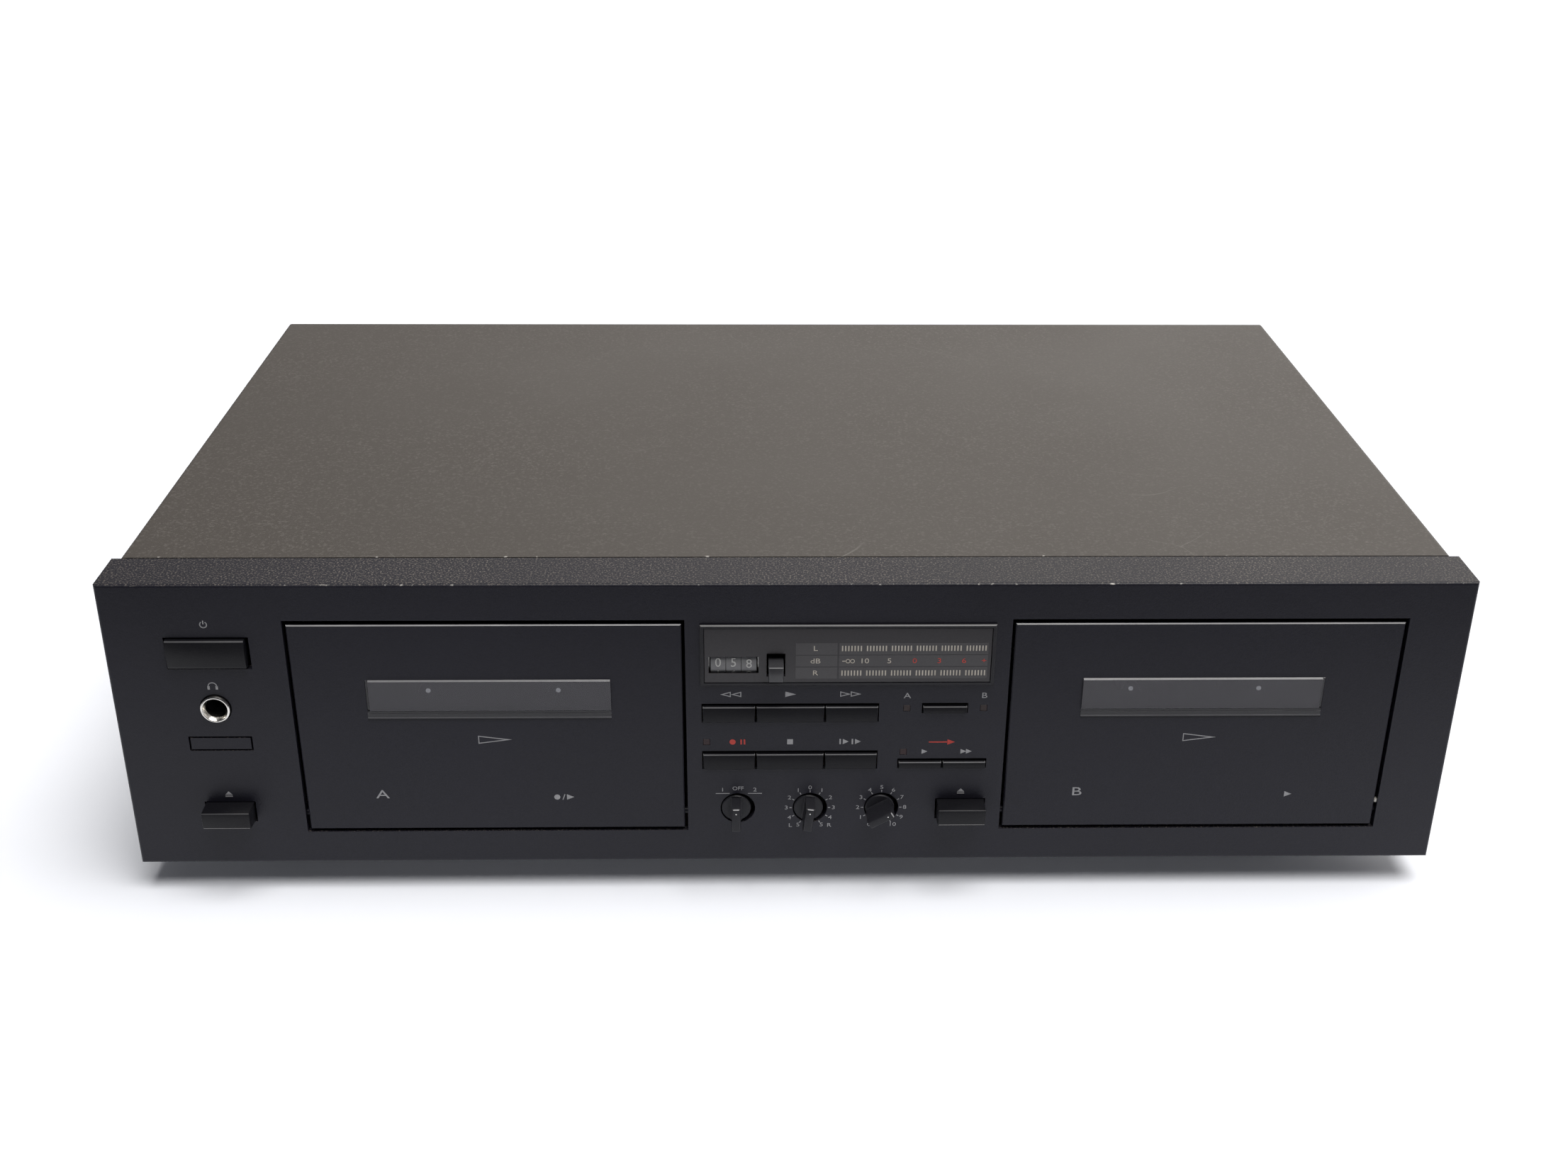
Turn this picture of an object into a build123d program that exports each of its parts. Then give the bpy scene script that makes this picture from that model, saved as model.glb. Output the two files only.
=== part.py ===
from build123d import *
import os

# Double cassette deck, a hi-fi separate. All lengths are millimetres.
# Places are given in the panel's own terms: x from the middle, depth behind the panel's face,
# height above the panel's lower edge. The row origin is under the middle of the whole deck, on the table.

# Case
case_width = 435.0
panel_height = 104.0
panel_depth = 19.5
case_depth = 260.0
ground_gap = 11.0
panel_wall = 2.5
panel_edge_round = 0.9
sheet = 1.0
sheet_bend = 1.6
cover_inset = 2.25
cover_seam = 0.6
rear_inset = 1.0
plate_tongue = 10.0
flange_rise = 14.0
fold_relief = 1.0
loose_gap = 0.3
run_gap = 0.05
overrun = 1.0

# Feet and screws
foot_radius = 20.0
foot_bevel = 2.0
foot_side_inset = 46.0
foot_front_setback = 46.0
foot_rear_setback = 36.0
screw_radius = 1.5
screw_head_radius = 3.4
screw_head = 1.6
screw_length = 7.0
screw_rise = 7.0
side_screw_inset = 40.0
rear_screw_spacing_share = 0.344828

# Doors and their lenses
deck_centre_shares = {"a": -0.223448, "b": 0.307586}
door_width_share = 0.286437
door_height = 76.5
door_low = 13.3
door_thick = 2.5
door_bevel = 0.35
door_side_gap = 1.1
door_top_gap = 1.6
door_bottom_gap = 1.1
lens_width = 78.6
lens_height = 14.5
lens_low = 55.5
lens_sink = 0.25
hinge_setback = 0.5
hinge_rise = 5.0
pin_radius = 1.2
ear_width = 2.5
ear_reach = 3.2
ear_half_height = 3.0
lug_width = 3.5
lug_reach = 4.5
lug_half_height = 3.5

# Cassette and its holder
cassette_width = 100.4
cassette_thick = 12.0
cassette_height = 63.8
hub_spacing = 42.5
hub_rise = 34.2
spindle_height = 60.4
cassette_play = 0.8
cassette_depth_play = 0.5
holder_wall = 1.5
holder_lip = 5.0
holder_floor_length = 15.0
holder_headroom = 3.0
holder_window_margin = 3.5

# Deck mechanism
frame_half_width_share = 0.133333
frame_gap = 3.0
frame_plate = 1.5
frame_height = 88.0
frame_foot = 12.0
frame_bay = 13.5
rear_plate_height = 58.0
rear_plate_lift = 2.0
pillar_radius = 2.5
pillar_inset = 3.0
pillar_end_inset = 6.0
capstan_radius = 1.0
capstan_side = 27.0
capstan_rise = 7.5
capstan_tip_depth = 10.0
flywheel_clearance = 4.4
flywheel_thick = 6.0
pulley_radius = 5.0
motor_side = -30.0
motor_radius = 15.0
motor_length = 27.0
motor_bore_depth = 6.0
belt_width = 3.0
belt_thick = 0.8
spindle_radius = 2.7
spindle_fin_reach = 1.3
spindle_fin_width = 1.2
spindle_fins = 3
spindle_tip_depth = 11.5
reel_table_radius = 12.0
reel_table_thick = 1.9
reel_shaft_radius = 1.5
reel_collar_radius = 3.0
reel_collar_thick = 1.6
head_travel = 6.5
bridge_half_width = 34.0
bridge_thick = 1.2
bridge_clearance = 4.7
head_half_width = 7.0
head_height = 9.0
head_reach = 12.0
head_clearance = 1.8
roller_radius = 5.0
roller_width = 7.0
roller_pin_radius = 1.2
roller_setback = 2.5

# Left column: power button, headphone jack, blanking plate
left_column_share = -0.425287
power_width = 25.6
power_height = 10.2
power_centre = 79.9
power_gap = 0.6
power_reach = 1.8
power_cap_depth = 12.0
power_stem_radius = 2.5
power_stem_length = 32.0
power_stem_engage = 8.0
power_travel = 4.0
power_bulge_radius = 30.0
power_switch_half_width = 8.0
power_switch_half_height = 7.0
power_switch_length = 20.0
power_bracket_thick = 5.0
jack_centre = 59.8
jack_ring_radius = 4.75
jack_ring_reach = 1.2
jack_hole_radius = 5.1
jack_bore_radius = 3.2
jack_bore_length = 26.0
jack_body_half = 7.0
jack_body_length = 28.0
blank_centre = 46.6
blank_width = 19.4
blank_height = 4.2
blank_gap = 0.6
blank_flange = 1.2

# Eject buttons
eject_b_share = 0.130805
eject_width_share = 0.036092
eject_top = 24.0
eject_base = 16.9
eject_front_height = 5.2
eject_gap = 0.5
eject_reach = 7.0
eject_travel = 5.0
eject_round = 0.6

# Push keys
key_gap = 0.35
key_bevel = 0.55
key_reach = 1.0
key_travel = 0.8
key_lip = 1.4
key_flange = 1.5
transport_centre = 0.0
outer_key_width_share = 0.039310
middle_key_width_share = 0.050805
transport_key_height = 6.4
upper_row_drop = 10.4
row_pitch = 17.85
selector_centre_share = 0.115402
selector_rise = 1.6
selector_width_share = 0.033103
selector_height = 3.2
dub_centre_share = 0.115172
dub_drop = 1.5
dub_key_width_share = 0.032644
dub_key_height = 3.1

# Rotary knobs
knob_centre_shares = {"nr": -0.039540, "balance": 0.015632, "rec_level": 0.070345}
knob_rest_turns = {"nr": 0, "balance": 7, "rec_level": 60}
knob_drop = 18.65
knob_hole_radius = 5.75
knob_disc_radius = 4.85
knob_offset = -0.5
knob_disc_proud = 0.2
knob_disc_depth = 3.2
knob_reach = 8.0
grip_width = 3.0
grip_length = 8.8
grip_round = 0.7
knob_shaft_radius = 1.5
knob_shaft_length = 7.0
pot_half_size = 5.5
pot_depth = 5.0
pot_bush_radius = 3.2
pot_bush_length = 3.0

# Display window, counter and meter
window_left_share = -0.066667
window_right_share = 0.150345
window_height = 22.1
window_above_door = 0.1
window_reach = 1.0
window_rim = 1.5
window_spigot = 1.2
window_bevel = 0.35
counter_inset = 10.65
counter_rise = 7.7
counter_opening_width = 16.0
counter_opening_height = 6.0
wheel_pitch = 4.95
wheel_width = 4.4
wheel_radius = 7.0
counter_sink = 0.55
counter_lip = 0.7
counter_pocket_margin = 2.2
counter_axle_radius = 1.0
counter_side = 1.2
counter_end_gap = 0.6
counter_half_height = 5.8
counter_back_gap = 0.5
reset_inset = 24.2
reset_rise = 4.1
reset_width = 4.8
reset_height = 5.4
reset_side_gap = 0.6
reset_top_gap = 2.3
reset_reach = 5.5
reset_travel = 2.0
meter_left_inset = 31.0
meter_right_inset = 1.9
meter_low_inset = 2.0
meter_high_inset = 5.3

# Circuit boards, switches and lamps
board_thick = 1.6
control_board_depth = 13.0
control_board_margin = 2.0
control_board_low = 9.0
control_post_radius = 2.5
upper_post_shares = (-0.045977, 0.073563)
lower_post_shares = (-0.062069, 0.140230)
post_drop = 9.8
display_board_margin = 5.0
display_post_radius = 1.8
display_post_margin = 2.6
main_board_left_share = -0.137931
main_board_right_share = 0.390805
main_board_front = 90.0
main_board_back_gap = 8.0
main_board_rise = 8.0
main_post_radius = 3.0
main_post_inset = 6.0
switch_half_size = 3.0
switch_thick = 4.0
plunger_radius = 1.5
plunger_reach = 0.8
lamp_half_size = 1.0
lamp_gap = 0.15
deck_lamp_shares = (0.086897, 0.144368)
dub_lamp_share = 0.085517
dub_lamp_rise = 4.45
record_lamp_share = -0.062759
record_lamp_rise = 6.95

# Rear sockets and power
line_jack_centre_share = 0.275862
line_jack_height = 40.0
line_jack_pitch = 20.0
line_jack_radius = 4.15
line_jack_bore_radius = 1.6
line_jack_reach = 9.5
line_jack_neck = 0.5
line_jack_neck_radius = 3.8
line_jack_bore_depth = 18.0
line_block_margin = 9.0
line_block_depth = 20.0
gland_place_share = -0.390805
gland_height = 26.0
gland_bore_radius = 3.6
gland_barrel_radius = 5.0
gland_flange_radius = 7.5
gland_flange = 2.0
gland_nut = 4.0
transformer_place_share = -0.321839
transformer_setback = 50.0
transformer_half_width = 32.0
transformer_half_depth = 20.0
transformer_height = 54.0
coil_half_width = 20.0
coil_half_depth = 29.0
coil_margin = 9.0

# Levels and depths that follow from the sizes above
overall_depth = knob_reach + case_depth + line_jack_reach - rear_inset
face_y = knob_reach - overall_depth / 2
cover_half = case_width / 2 - cover_inset
plate_half = cover_half - sheet - loose_gap
plate_low = panel_wall + loose_gap
plate_top = plate_low + sheet
cover_front = panel_depth + cover_seam
rear_outer = case_depth - rear_inset
rear_inner = rear_outer - sheet
side_screw_depths = (cover_front + side_screw_inset, case_depth - side_screw_inset)
main_board_back = rear_inner - main_board_back_gap
door_high = door_low + door_height
door_width = door_width_share * case_width
deck_centres = {deck: share * case_width for deck, share in deck_centre_shares.items()}
left_column = left_column_share * case_width
eject_centres = {"a": left_column, "b": eject_b_share * case_width}
eject_width = eject_width_share * case_width
window_left = window_left_share * case_width
window_right = window_right_share * case_width
window_high = door_high + window_above_door
window_low = window_high - window_height
counter_centre = window_left + counter_inset
counter_height_centre = window_low + counter_rise
reset_centre = window_left + reset_inset
reset_low = window_low + reset_rise
meter_left = window_left + meter_left_inset
meter_right = window_right - meter_right_inset
meter_low = window_low + meter_low_inset
meter_high = window_high - meter_high_inset
outer_key_width = outer_key_width_share * case_width
middle_key_width = middle_key_width_share * case_width
upper_row_centre = window_low - upper_row_drop
lower_row_centre = upper_row_centre - row_pitch
selector_centre = selector_centre_share * case_width
selector_height_centre = upper_row_centre + selector_rise
selector_width = selector_width_share * case_width
dub_centre = dub_centre_share * case_width
dub_height_centre = lower_row_centre - dub_drop
dub_key_width = dub_key_width_share * case_width
knob_centres = {knob: share * case_width for knob, share in knob_centre_shares.items()}
knob_axes = {knob: centre + knob_offset for knob, centre in knob_centres.items()}
knob_height_centre = lower_row_centre - knob_drop
control_board_left = window_left - control_board_margin
control_board_right = window_right + control_board_margin
control_board_high = window_low - control_board_margin
frame_half_width = frame_half_width_share * case_width
main_board_left = main_board_left_share * case_width
main_board_right = main_board_right_share * case_width
line_jack_centre = line_jack_centre_share * case_width
gland_place = gland_place_share * case_width
transformer_place = transformer_place_share * case_width
rear_screw_spacing = rear_screw_spacing_share * case_width
hinge_depth = door_thick + hinge_setback
hinge_height = door_low + hinge_rise
holder_half = cassette_width / 2 + cassette_play + holder_wall
holder_front = door_thick + holder_wall
holder_back = holder_front + cassette_thick + cassette_depth_play + holder_wall
cassette_low = spindle_height - hub_rise
floor_top = cassette_low - loose_gap
floor_low = floor_top - holder_wall
holder_high = cassette_low + cassette_height - holder_headroom
frame_front = holder_back + frame_gap
frame_back = frame_front + frame_plate
bay_back = frame_back + frame_bay
rear_plate_back = bay_back + frame_plate
capstan_height = cassette_low + capstan_rise
flywheel_radius = capstan_height - plate_top - frame_plate - flywheel_clearance
flywheel_front = frame_back + (frame_bay - flywheel_thick) / 2
flywheel_back = flywheel_front + flywheel_thick
bridge_back = frame_front - loose_gap
bridge_front = bridge_back - bridge_thick
head_high = cassette_low - head_clearance
bridge_low = plate_top + bridge_clearance
roller_height = capstan_height - capstan_radius - roller_radius - loose_gap - head_travel
plunger_front = control_board_depth - switch_thick - plunger_reach
key_back = plunger_front - key_travel - loose_gap
window_back = window_spigot
counter_axle_depth = wheel_radius + counter_sink - window_reach
counter_back = counter_axle_depth + wheel_radius + counter_back_gap
display_board_depth = counter_back + counter_side
rear_flange_front = rear_inner - sheet
eject_back = control_board_depth - eject_travel - loose_gap
reset_back = counter_back - reset_travel


def block(left, right, front, back, low, high):
    """A box between two sides, two depths and two heights."""
    middle = Pos((left + right) / 2, face_y + (front + back) / 2, ground_gap + (low + high) / 2)
    return middle * Box(right - left, back - front, high - low)


def rod(x, height, radius, front, back):
    """A round bar that runs along the depth."""
    middle = Pos(x, face_y + (front + back) / 2, ground_gap + height)
    return middle * Rot(90, 0, 0) * Cylinder(radius, back - front)


def cross_rod(depth, height, radius, left, right):
    """A round bar that runs from side to side."""
    middle = Pos((left + right) / 2, face_y + depth, ground_gap + height)
    return middle * Rot(0, 90, 0) * Cylinder(radius, right - left)


def post(x, depth, radius, low, high):
    """A round bar that stands upright."""
    middle = Pos(x, face_y + depth, ground_gap + (low + high) / 2)
    return middle * Cylinder(radius, high - low)


def centred(x, height, half_width, half_height, front, back):
    """A box round a place on the panel, between two depths."""
    return block(x - half_width, x + half_width, front, back, height - half_height, height + half_height)


def front_edges(shape):
    """The edges of a shape's foremost face."""
    return shape.faces().sort_by(Axis.Y)[0].edges()


def transport_keys():
    """The three keys of a transport row, as middle and width, from left to right."""
    side = middle_key_width / 2 + key_gap + outer_key_width / 2
    return (
        (transport_centre - side, outer_key_width),
        (transport_centre, middle_key_width),
        (transport_centre + side, outer_key_width),
    )


def key_table():
    """Every push key: its name, middle, height, width and tallness."""
    upper_names = ("rewind_button", "play_button", "fast_forward_button")
    lower_names = ("record_pause_button", "stop_button", "mute_search_button")
    rows = []
    for names, row_height in ((upper_names, upper_row_centre), (lower_names, lower_row_centre)):
        for name, (middle, width) in zip(names, transport_keys()):
            rows.append((name, middle, row_height, width, transport_key_height))
    selector_size = (selector_width, selector_height)
    rows.append(("deck_selector_button", selector_centre, selector_height_centre, *selector_size))
    dub_side = (dub_key_width + key_gap) / 2
    dub_size = (dub_key_width, dub_key_height)
    rows.append(("dub_normal_button", dub_centre - dub_side, dub_height_centre, *dub_size))
    rows.append(("dub_high_button", dub_centre + dub_side, dub_height_centre, *dub_size))
    return rows


def key_openings():
    """The panel's holes for the keys: middle, height, half width and half height."""
    row_half = middle_key_width / 2 + key_gap + outer_key_width + loose_gap
    transport_half = transport_key_height / 2 + loose_gap
    selector_half = (selector_width / 2 + loose_gap, selector_height / 2 + loose_gap)
    dub_half = (dub_key_width + key_gap / 2 + loose_gap, dub_key_height / 2 + loose_gap)
    return (
        (transport_centre, upper_row_centre, row_half, transport_half),
        (transport_centre, lower_row_centre, row_half, transport_half),
        (selector_centre, selector_height_centre, *selector_half),
        (dub_centre, dub_height_centre, *dub_half),
    )


def eject_section(centre):
    """Half widths, lower and upper edge of an eject button's hole."""
    half = eject_width / 2 + eject_gap
    return centre - half, centre + half, eject_base - eject_gap, eject_top + loose_gap


def control_post_places():
    """The posts that carry the control board: two between the key rows, two above the knobs."""
    middle_height = (upper_row_centre + lower_row_centre) / 2
    upper = [(share * case_width, middle_height) for share in upper_post_shares]
    lower = [(share * case_width, lower_row_centre - post_drop) for share in lower_post_shares]
    return upper + lower


def lamp_places():
    """The four lamps: one at each side of the deck selector, one for dubbing, one for recording."""
    lamps = [(share * case_width, selector_height_centre) for share in deck_lamp_shares]
    lamps.append((dub_lamp_share * case_width, dub_height_centre + dub_lamp_rise))
    lamps.append((record_lamp_share * case_width, lower_row_centre + record_lamp_rise))
    return lamps


def make_front_panel():
    """The moulded front: a shallow tray with a hole for everything that works through it."""
    panel_half = case_width / 2
    panel = block(-panel_half, panel_half, 0, panel_depth, 0, panel_height)
    panel = fillet(front_edges(panel), panel_edge_round)
    inner_half = panel_half - panel_wall
    inner_high = panel_height - panel_wall
    panel -= block(-inner_half, inner_half, panel_wall, panel_depth + overrun, panel_wall, inner_high)
    through = panel_wall + overrun
    for centre in deck_centres.values():
        reach = door_width / 2 + door_side_gap
        for side in (-1, 1):
            lug_ends = sorted((centre + side * reach, centre + side * (reach + lug_width)))
            lug_low = hinge_height - lug_half_height
            lug_high = hinge_height + lug_half_height
            panel += block(*lug_ends, panel_wall, panel_wall + lug_reach, lug_low, lug_high)
        hole_low = door_low - door_bottom_gap
        hole_high = door_high + door_top_gap
        panel -= block(centre - reach, centre + reach, -overrun, through, hole_low, hole_high)
        bore_reach = reach + lug_width + overrun
        bore_ends = (centre - bore_reach, centre + bore_reach)
        panel -= cross_rod(hinge_depth, hinge_height, pin_radius + run_gap, *bore_ends)
    for centre in eject_centres.values():
        left, right, low, high = eject_section(centre)
        panel -= block(left, right, -overrun, through, low, high)
    for middle, height, half_width, half_height in key_openings():
        panel -= centred(middle, height, half_width, half_height, -overrun, through)
    for centre in knob_centres.values():
        panel -= rod(centre, knob_height_centre, knob_hole_radius, -overrun, through)
    power_half = power_width / 2 + power_gap
    panel -= centred(left_column, power_centre, power_half, power_height / 2 + power_gap, -overrun, through)
    panel -= rod(left_column, jack_centre, jack_hole_radius, -overrun, through)
    blank_half = blank_width / 2 + blank_gap
    panel -= centred(left_column, blank_centre, blank_half, blank_height / 2 + blank_gap, -overrun, through)
    hole_sides = (window_left + window_rim, window_right - window_rim)
    hole_ends = (window_low + window_rim, window_high - window_rim)
    panel -= block(*hole_sides, -overrun, through, *hole_ends)
    for x, height in lamp_places():
        panel -= centred(x, height, lamp_half_size + lamp_gap, lamp_half_size + lamp_gap, -overrun, through)
    for x, height in control_post_places():
        panel += rod(x, height, control_post_radius, panel_wall, control_board_depth)
    window_middle = (window_low + window_high) / 2
    for x in (window_left - display_post_margin, window_right + display_post_margin):
        panel += rod(x, window_middle, display_post_radius, panel_wall, display_board_depth)
    return panel


def make_top_cover():
    """The steel lid: one sheet folded down at both sides."""
    cover = block(-cover_half, cover_half, cover_front, case_depth, plate_low, panel_height)
    bends = cover.edges().filter_by(Axis.Y).group_by(Axis.Z)[-1]
    cover = fillet(bends, sheet_bend)
    inside = cover_half - sheet
    hollow_ends = (cover_front - overrun, case_depth + overrun)
    hollow = block(-inside, inside, *hollow_ends, -overrun, panel_height - sheet)
    hollow = fillet(hollow.edges().filter_by(Axis.Y).group_by(Axis.Z)[-1], sheet_bend - sheet)
    cover -= hollow
    for depth in side_screw_depths:
        hole_radius = screw_radius + loose_gap
        hole_height = plate_top + screw_rise
        cover -= cross_rod(depth, hole_height, hole_radius, -case_width, case_width)
    return cover


def rear_screw_places():
    """Where the rear panel is screwed to the bottom plate's rear flange."""
    return (-rear_screw_spacing, 0, rear_screw_spacing)


def main_post_places():
    """The corners of the main board, where it stands on posts."""
    sides = (main_board_left + main_post_inset, main_board_right - main_post_inset)
    depths = (main_board_front + main_post_inset, main_board_back - main_post_inset)
    return [(x, depth) for x in sides for depth in depths]


def make_bottom_plate():
    """The steel base: folded up at the sides and the rear, with posts for the main board."""
    front = panel_depth - plate_tongue
    plate = block(-plate_half, plate_half, front, rear_inner, plate_low, plate_top)
    for side in (-1, 1):
        flange_ends = sorted((side * plate_half, side * (plate_half - sheet)))
        plate += block(*flange_ends, cover_front, rear_flange_front, plate_top, plate_top + flange_rise)
    rear_half = plate_half - sheet - fold_relief
    plate += block(-rear_half, rear_half, rear_flange_front, rear_inner, plate_top, plate_top + flange_rise)
    for x, depth in main_post_places():
        plate += post(x, depth, main_post_radius, plate_top, plate_top + main_board_rise)
    for depth in side_screw_depths:
        hole_radius = screw_radius + run_gap
        hole_height = plate_top + screw_rise
        plate -= cross_rod(depth, hole_height, hole_radius, -case_width, case_width)
    for x in rear_screw_places():
        hole_front = rear_flange_front - overrun
        plate -= rod(x, plate_top + screw_rise, screw_radius + run_gap, hole_front, case_depth)
    return plate


def line_jack_places():
    """The four phono sockets, as x and height."""
    half = line_jack_pitch / 2
    return [(line_jack_centre + sx * half, line_jack_height + sz * half) for sx in (-1, 1) for sz in (-1, 1)]


def make_rear_panel():
    """The steel back, with holes for the sockets, the mains gland and its screws."""
    panel_top = panel_height - sheet - loose_gap
    panel = block(-plate_half, plate_half, rear_inner, rear_outer, plate_top, panel_top)
    behind = case_depth + overrun
    for x, height in line_jack_places():
        panel -= rod(x, height, line_jack_radius + loose_gap, rear_inner - overrun, behind)
    panel -= rod(gland_place, gland_height, gland_barrel_radius + loose_gap, rear_inner - overrun, behind)
    for x in rear_screw_places():
        panel -= rod(x, plate_top + screw_rise, screw_radius + loose_gap, rear_inner - overrun, behind)
    return panel


def make_feet():
    """Four round feet under the bottom plate."""
    feet = []
    for x in (-case_width / 2 + foot_side_inset, case_width / 2 - foot_side_inset):
        for depth in (foot_front_setback, case_depth - foot_rear_setback):
            foot = post(x, depth, foot_radius, -ground_gap, plate_low)
            foot = chamfer(foot.edges().group_by(Axis.Z)[0], foot_bevel)
            feet.append(foot)
    return feet


def make_case_screws():
    """Pan-head screws: two through each side of the lid, three through the rear panel."""
    screws = []
    height = plate_top + screw_rise
    for depth in side_screw_depths:
        for side in (-1, 1):
            head_ends = sorted((side * cover_half, side * (cover_half + screw_head)))
            shank_ends = sorted((side * cover_half, side * (cover_half - screw_length)))
            head = cross_rod(depth, height, screw_head_radius, *head_ends)
            screws.append(head + cross_rod(depth, height, screw_radius, *shank_ends))
    for x in rear_screw_places():
        head = rod(x, height, screw_head_radius, rear_outer, rear_outer + screw_head)
        screws.append(head + rod(x, height, screw_radius, rear_outer - screw_length, rear_outer))
    return screws


def make_display_window():
    """The smoked window plate over the counter and the meter, with a spigot through the panel."""
    window = block(window_left, window_right, -window_reach, 0, window_low, window_high)
    window = chamfer(front_edges(window), window_bevel)
    inset = window_rim + loose_gap
    spigot_sides = (window_left + inset, window_right - inset)
    window += block(*spigot_sides, 0, window_back, window_low + inset, window_high - inset)
    half_width = counter_opening_width / 2
    half_height = counter_opening_height / 2
    front = -window_reach - overrun
    back = window_back + overrun
    window -= centred(counter_centre, counter_height_centre, half_width, half_height, front, back)
    pocket_half_height = half_height + counter_pocket_margin
    pocket_front = counter_lip - window_reach
    window -= centred(counter_centre, counter_height_centre, half_width, pocket_half_height, pocket_front, back)
    reset_left = reset_centre - reset_width / 2 - reset_side_gap
    reset_right = reset_centre + reset_width / 2 + reset_side_gap
    reset_roof = reset_low + reset_height + reset_top_gap
    window -= block(reset_left, reset_right, front, back, reset_low - reset_side_gap, reset_roof)
    return window


def make_counter_frame():
    """The counter's bracket with its fixed axle."""
    inside = wheel_pitch + wheel_width / 2 + counter_end_gap
    outside = inside + counter_side
    low = counter_height_centre - counter_half_height
    high = counter_height_centre + counter_half_height
    sides = (counter_centre - outside, counter_centre + outside)
    frame = block(*sides, counter_back, display_board_depth, low, high)
    for side in (-1, 1):
        ends = sorted((counter_centre + side * inside, counter_centre + side * outside))
        frame += block(*ends, window_back + loose_gap, counter_back, low, high)
    axle_ends = (counter_centre - inside, counter_centre + inside)
    frame += cross_rod(counter_axle_depth, counter_height_centre, counter_axle_radius, *axle_ends)
    return frame


def make_counter_wheel(step):
    """One number wheel, so many pitches right of the middle one."""
    middle = counter_centre + step * wheel_pitch
    ends = (middle - wheel_width / 2, middle + wheel_width / 2)
    wheel = cross_rod(counter_axle_depth, counter_height_centre, wheel_radius, *ends)
    bore_radius = counter_axle_radius + run_gap
    bore_ends = (middle - wheel_width, middle + wheel_width)
    return wheel - cross_rod(counter_axle_depth, counter_height_centre, bore_radius, *bore_ends)


def make_reset_button():
    """The small square key that zeroes the counter."""
    sides = (reset_centre - reset_width / 2, reset_centre + reset_width / 2)
    front = -window_reach - reset_reach
    return block(*sides, front, reset_back, reset_low, reset_low + reset_height)


def make_level_meter():
    """The bar display behind the window, on its holder."""
    return block(meter_left, meter_right, window_back + loose_gap, display_board_depth, meter_low, meter_high)


def make_circuit_boards():
    """The control board, the display board and the main board."""
    control_sides = (control_board_left, control_board_right)
    control_faces = (control_board_depth, control_board_depth + board_thick)
    control = block(*control_sides, *control_faces, control_board_low, control_board_high)
    display_left = window_left - display_board_margin
    display_right = window_right + display_board_margin
    display_back = display_board_depth + board_thick
    display = block(display_left, display_right, display_board_depth, display_back, window_low, window_high)
    main_low = plate_top + main_board_rise
    main_high = main_low + board_thick
    main = block(main_board_left, main_board_right, main_board_front, main_board_back, main_low, main_high)
    return [control, display, main]


def make_push_key(middle, height, width, tall):
    """A push key with a bevelled upper edge and a stop lip behind the panel."""
    cap = centred(middle, height, width / 2, tall / 2, -key_reach, key_back)
    cap = chamfer(front_edges(cap).sort_by(Axis.Z)[-1], key_bevel)
    lip_front = panel_wall + loose_gap
    return cap + centred(middle, height, width / 2, tall / 2 + key_lip, lip_front, lip_front + key_flange)


def make_push_switches():
    """A small push switch on the control board behind each key."""
    switches = []
    for name, middle, height, width, tall in key_table():
        front = control_board_depth - switch_thick
        body = centred(middle, height, switch_half_size, switch_half_size, front, control_board_depth)
        switches.append(body + rod(middle, height, plunger_radius, plunger_front, front))
    return switches


def make_indicator_lamps():
    """Small square lamps that stand on the control board and end flush with the panel."""
    half = lamp_half_size
    return [centred(x, height, half, half, 0, control_board_depth) for x, height in lamp_places()]


def make_knob(centre, turn):
    """A rotary knob: flush disc, finger bar across it and a shaft to the control behind."""
    grip_depth = knob_reach - knob_disc_proud
    grip = Box(grip_width, grip_depth, grip_length)
    grip = fillet(front_edges(grip), grip_round)
    grip_middle = face_y - knob_disc_proud - grip_depth / 2
    knob = Pos(centre, grip_middle, ground_gap + knob_height_centre) * Rot(0, turn, 0) * grip
    knob += rod(centre, knob_height_centre, knob_disc_radius, -knob_disc_proud, knob_disc_depth)
    shaft_end = knob_disc_depth + knob_shaft_length
    return knob + rod(centre, knob_height_centre, knob_shaft_radius, knob_disc_depth, shaft_end)


def make_potentiometers():
    """The rotary controls on the control board, each with a bush for its knob's shaft."""
    controls = []
    front = control_board_depth - pot_depth
    for centre in knob_axes.values():
        body = centred(centre, knob_height_centre, pot_half_size, pot_half_size, front, control_board_depth)
        body += rod(centre, knob_height_centre, pot_bush_radius, front - pot_bush_length, front)
        bore_end = knob_disc_depth + knob_shaft_length + loose_gap
        bore_front = front - pot_bush_length - overrun
        bore_radius = knob_shaft_radius + run_gap
        controls.append(body - rod(centre, knob_height_centre, bore_radius, bore_front, bore_end))
    return controls


def make_eject_button(centre):
    """An eject key that stands out like a small shelf, sloped underneath."""
    outline = [
        (face_y - eject_reach, ground_gap + eject_top),
        (face_y - eject_reach, ground_gap + eject_top - eject_front_height),
        (face_y, ground_gap + eject_base),
        (face_y + eject_back, ground_gap + eject_base),
        (face_y + eject_back, ground_gap + eject_top),
    ]
    profile = make_face(Polyline(*outline, close=True))
    button = Pos(centre, 0, 0) * extrude(Plane.YZ * profile, amount=eject_width / 2, both=True)
    button = fillet(button.edges().filter_by(Axis.X).group_by(Axis.Y)[0], eject_round)
    lip_front = panel_wall + loose_gap
    half = eject_width / 2
    lip_low = eject_base - eject_gap - key_lip
    lip_high = eject_top + loose_gap + key_lip
    return button + block(centre - half, centre + half, lip_front, lip_front + key_flange, lip_low, lip_high)


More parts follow.
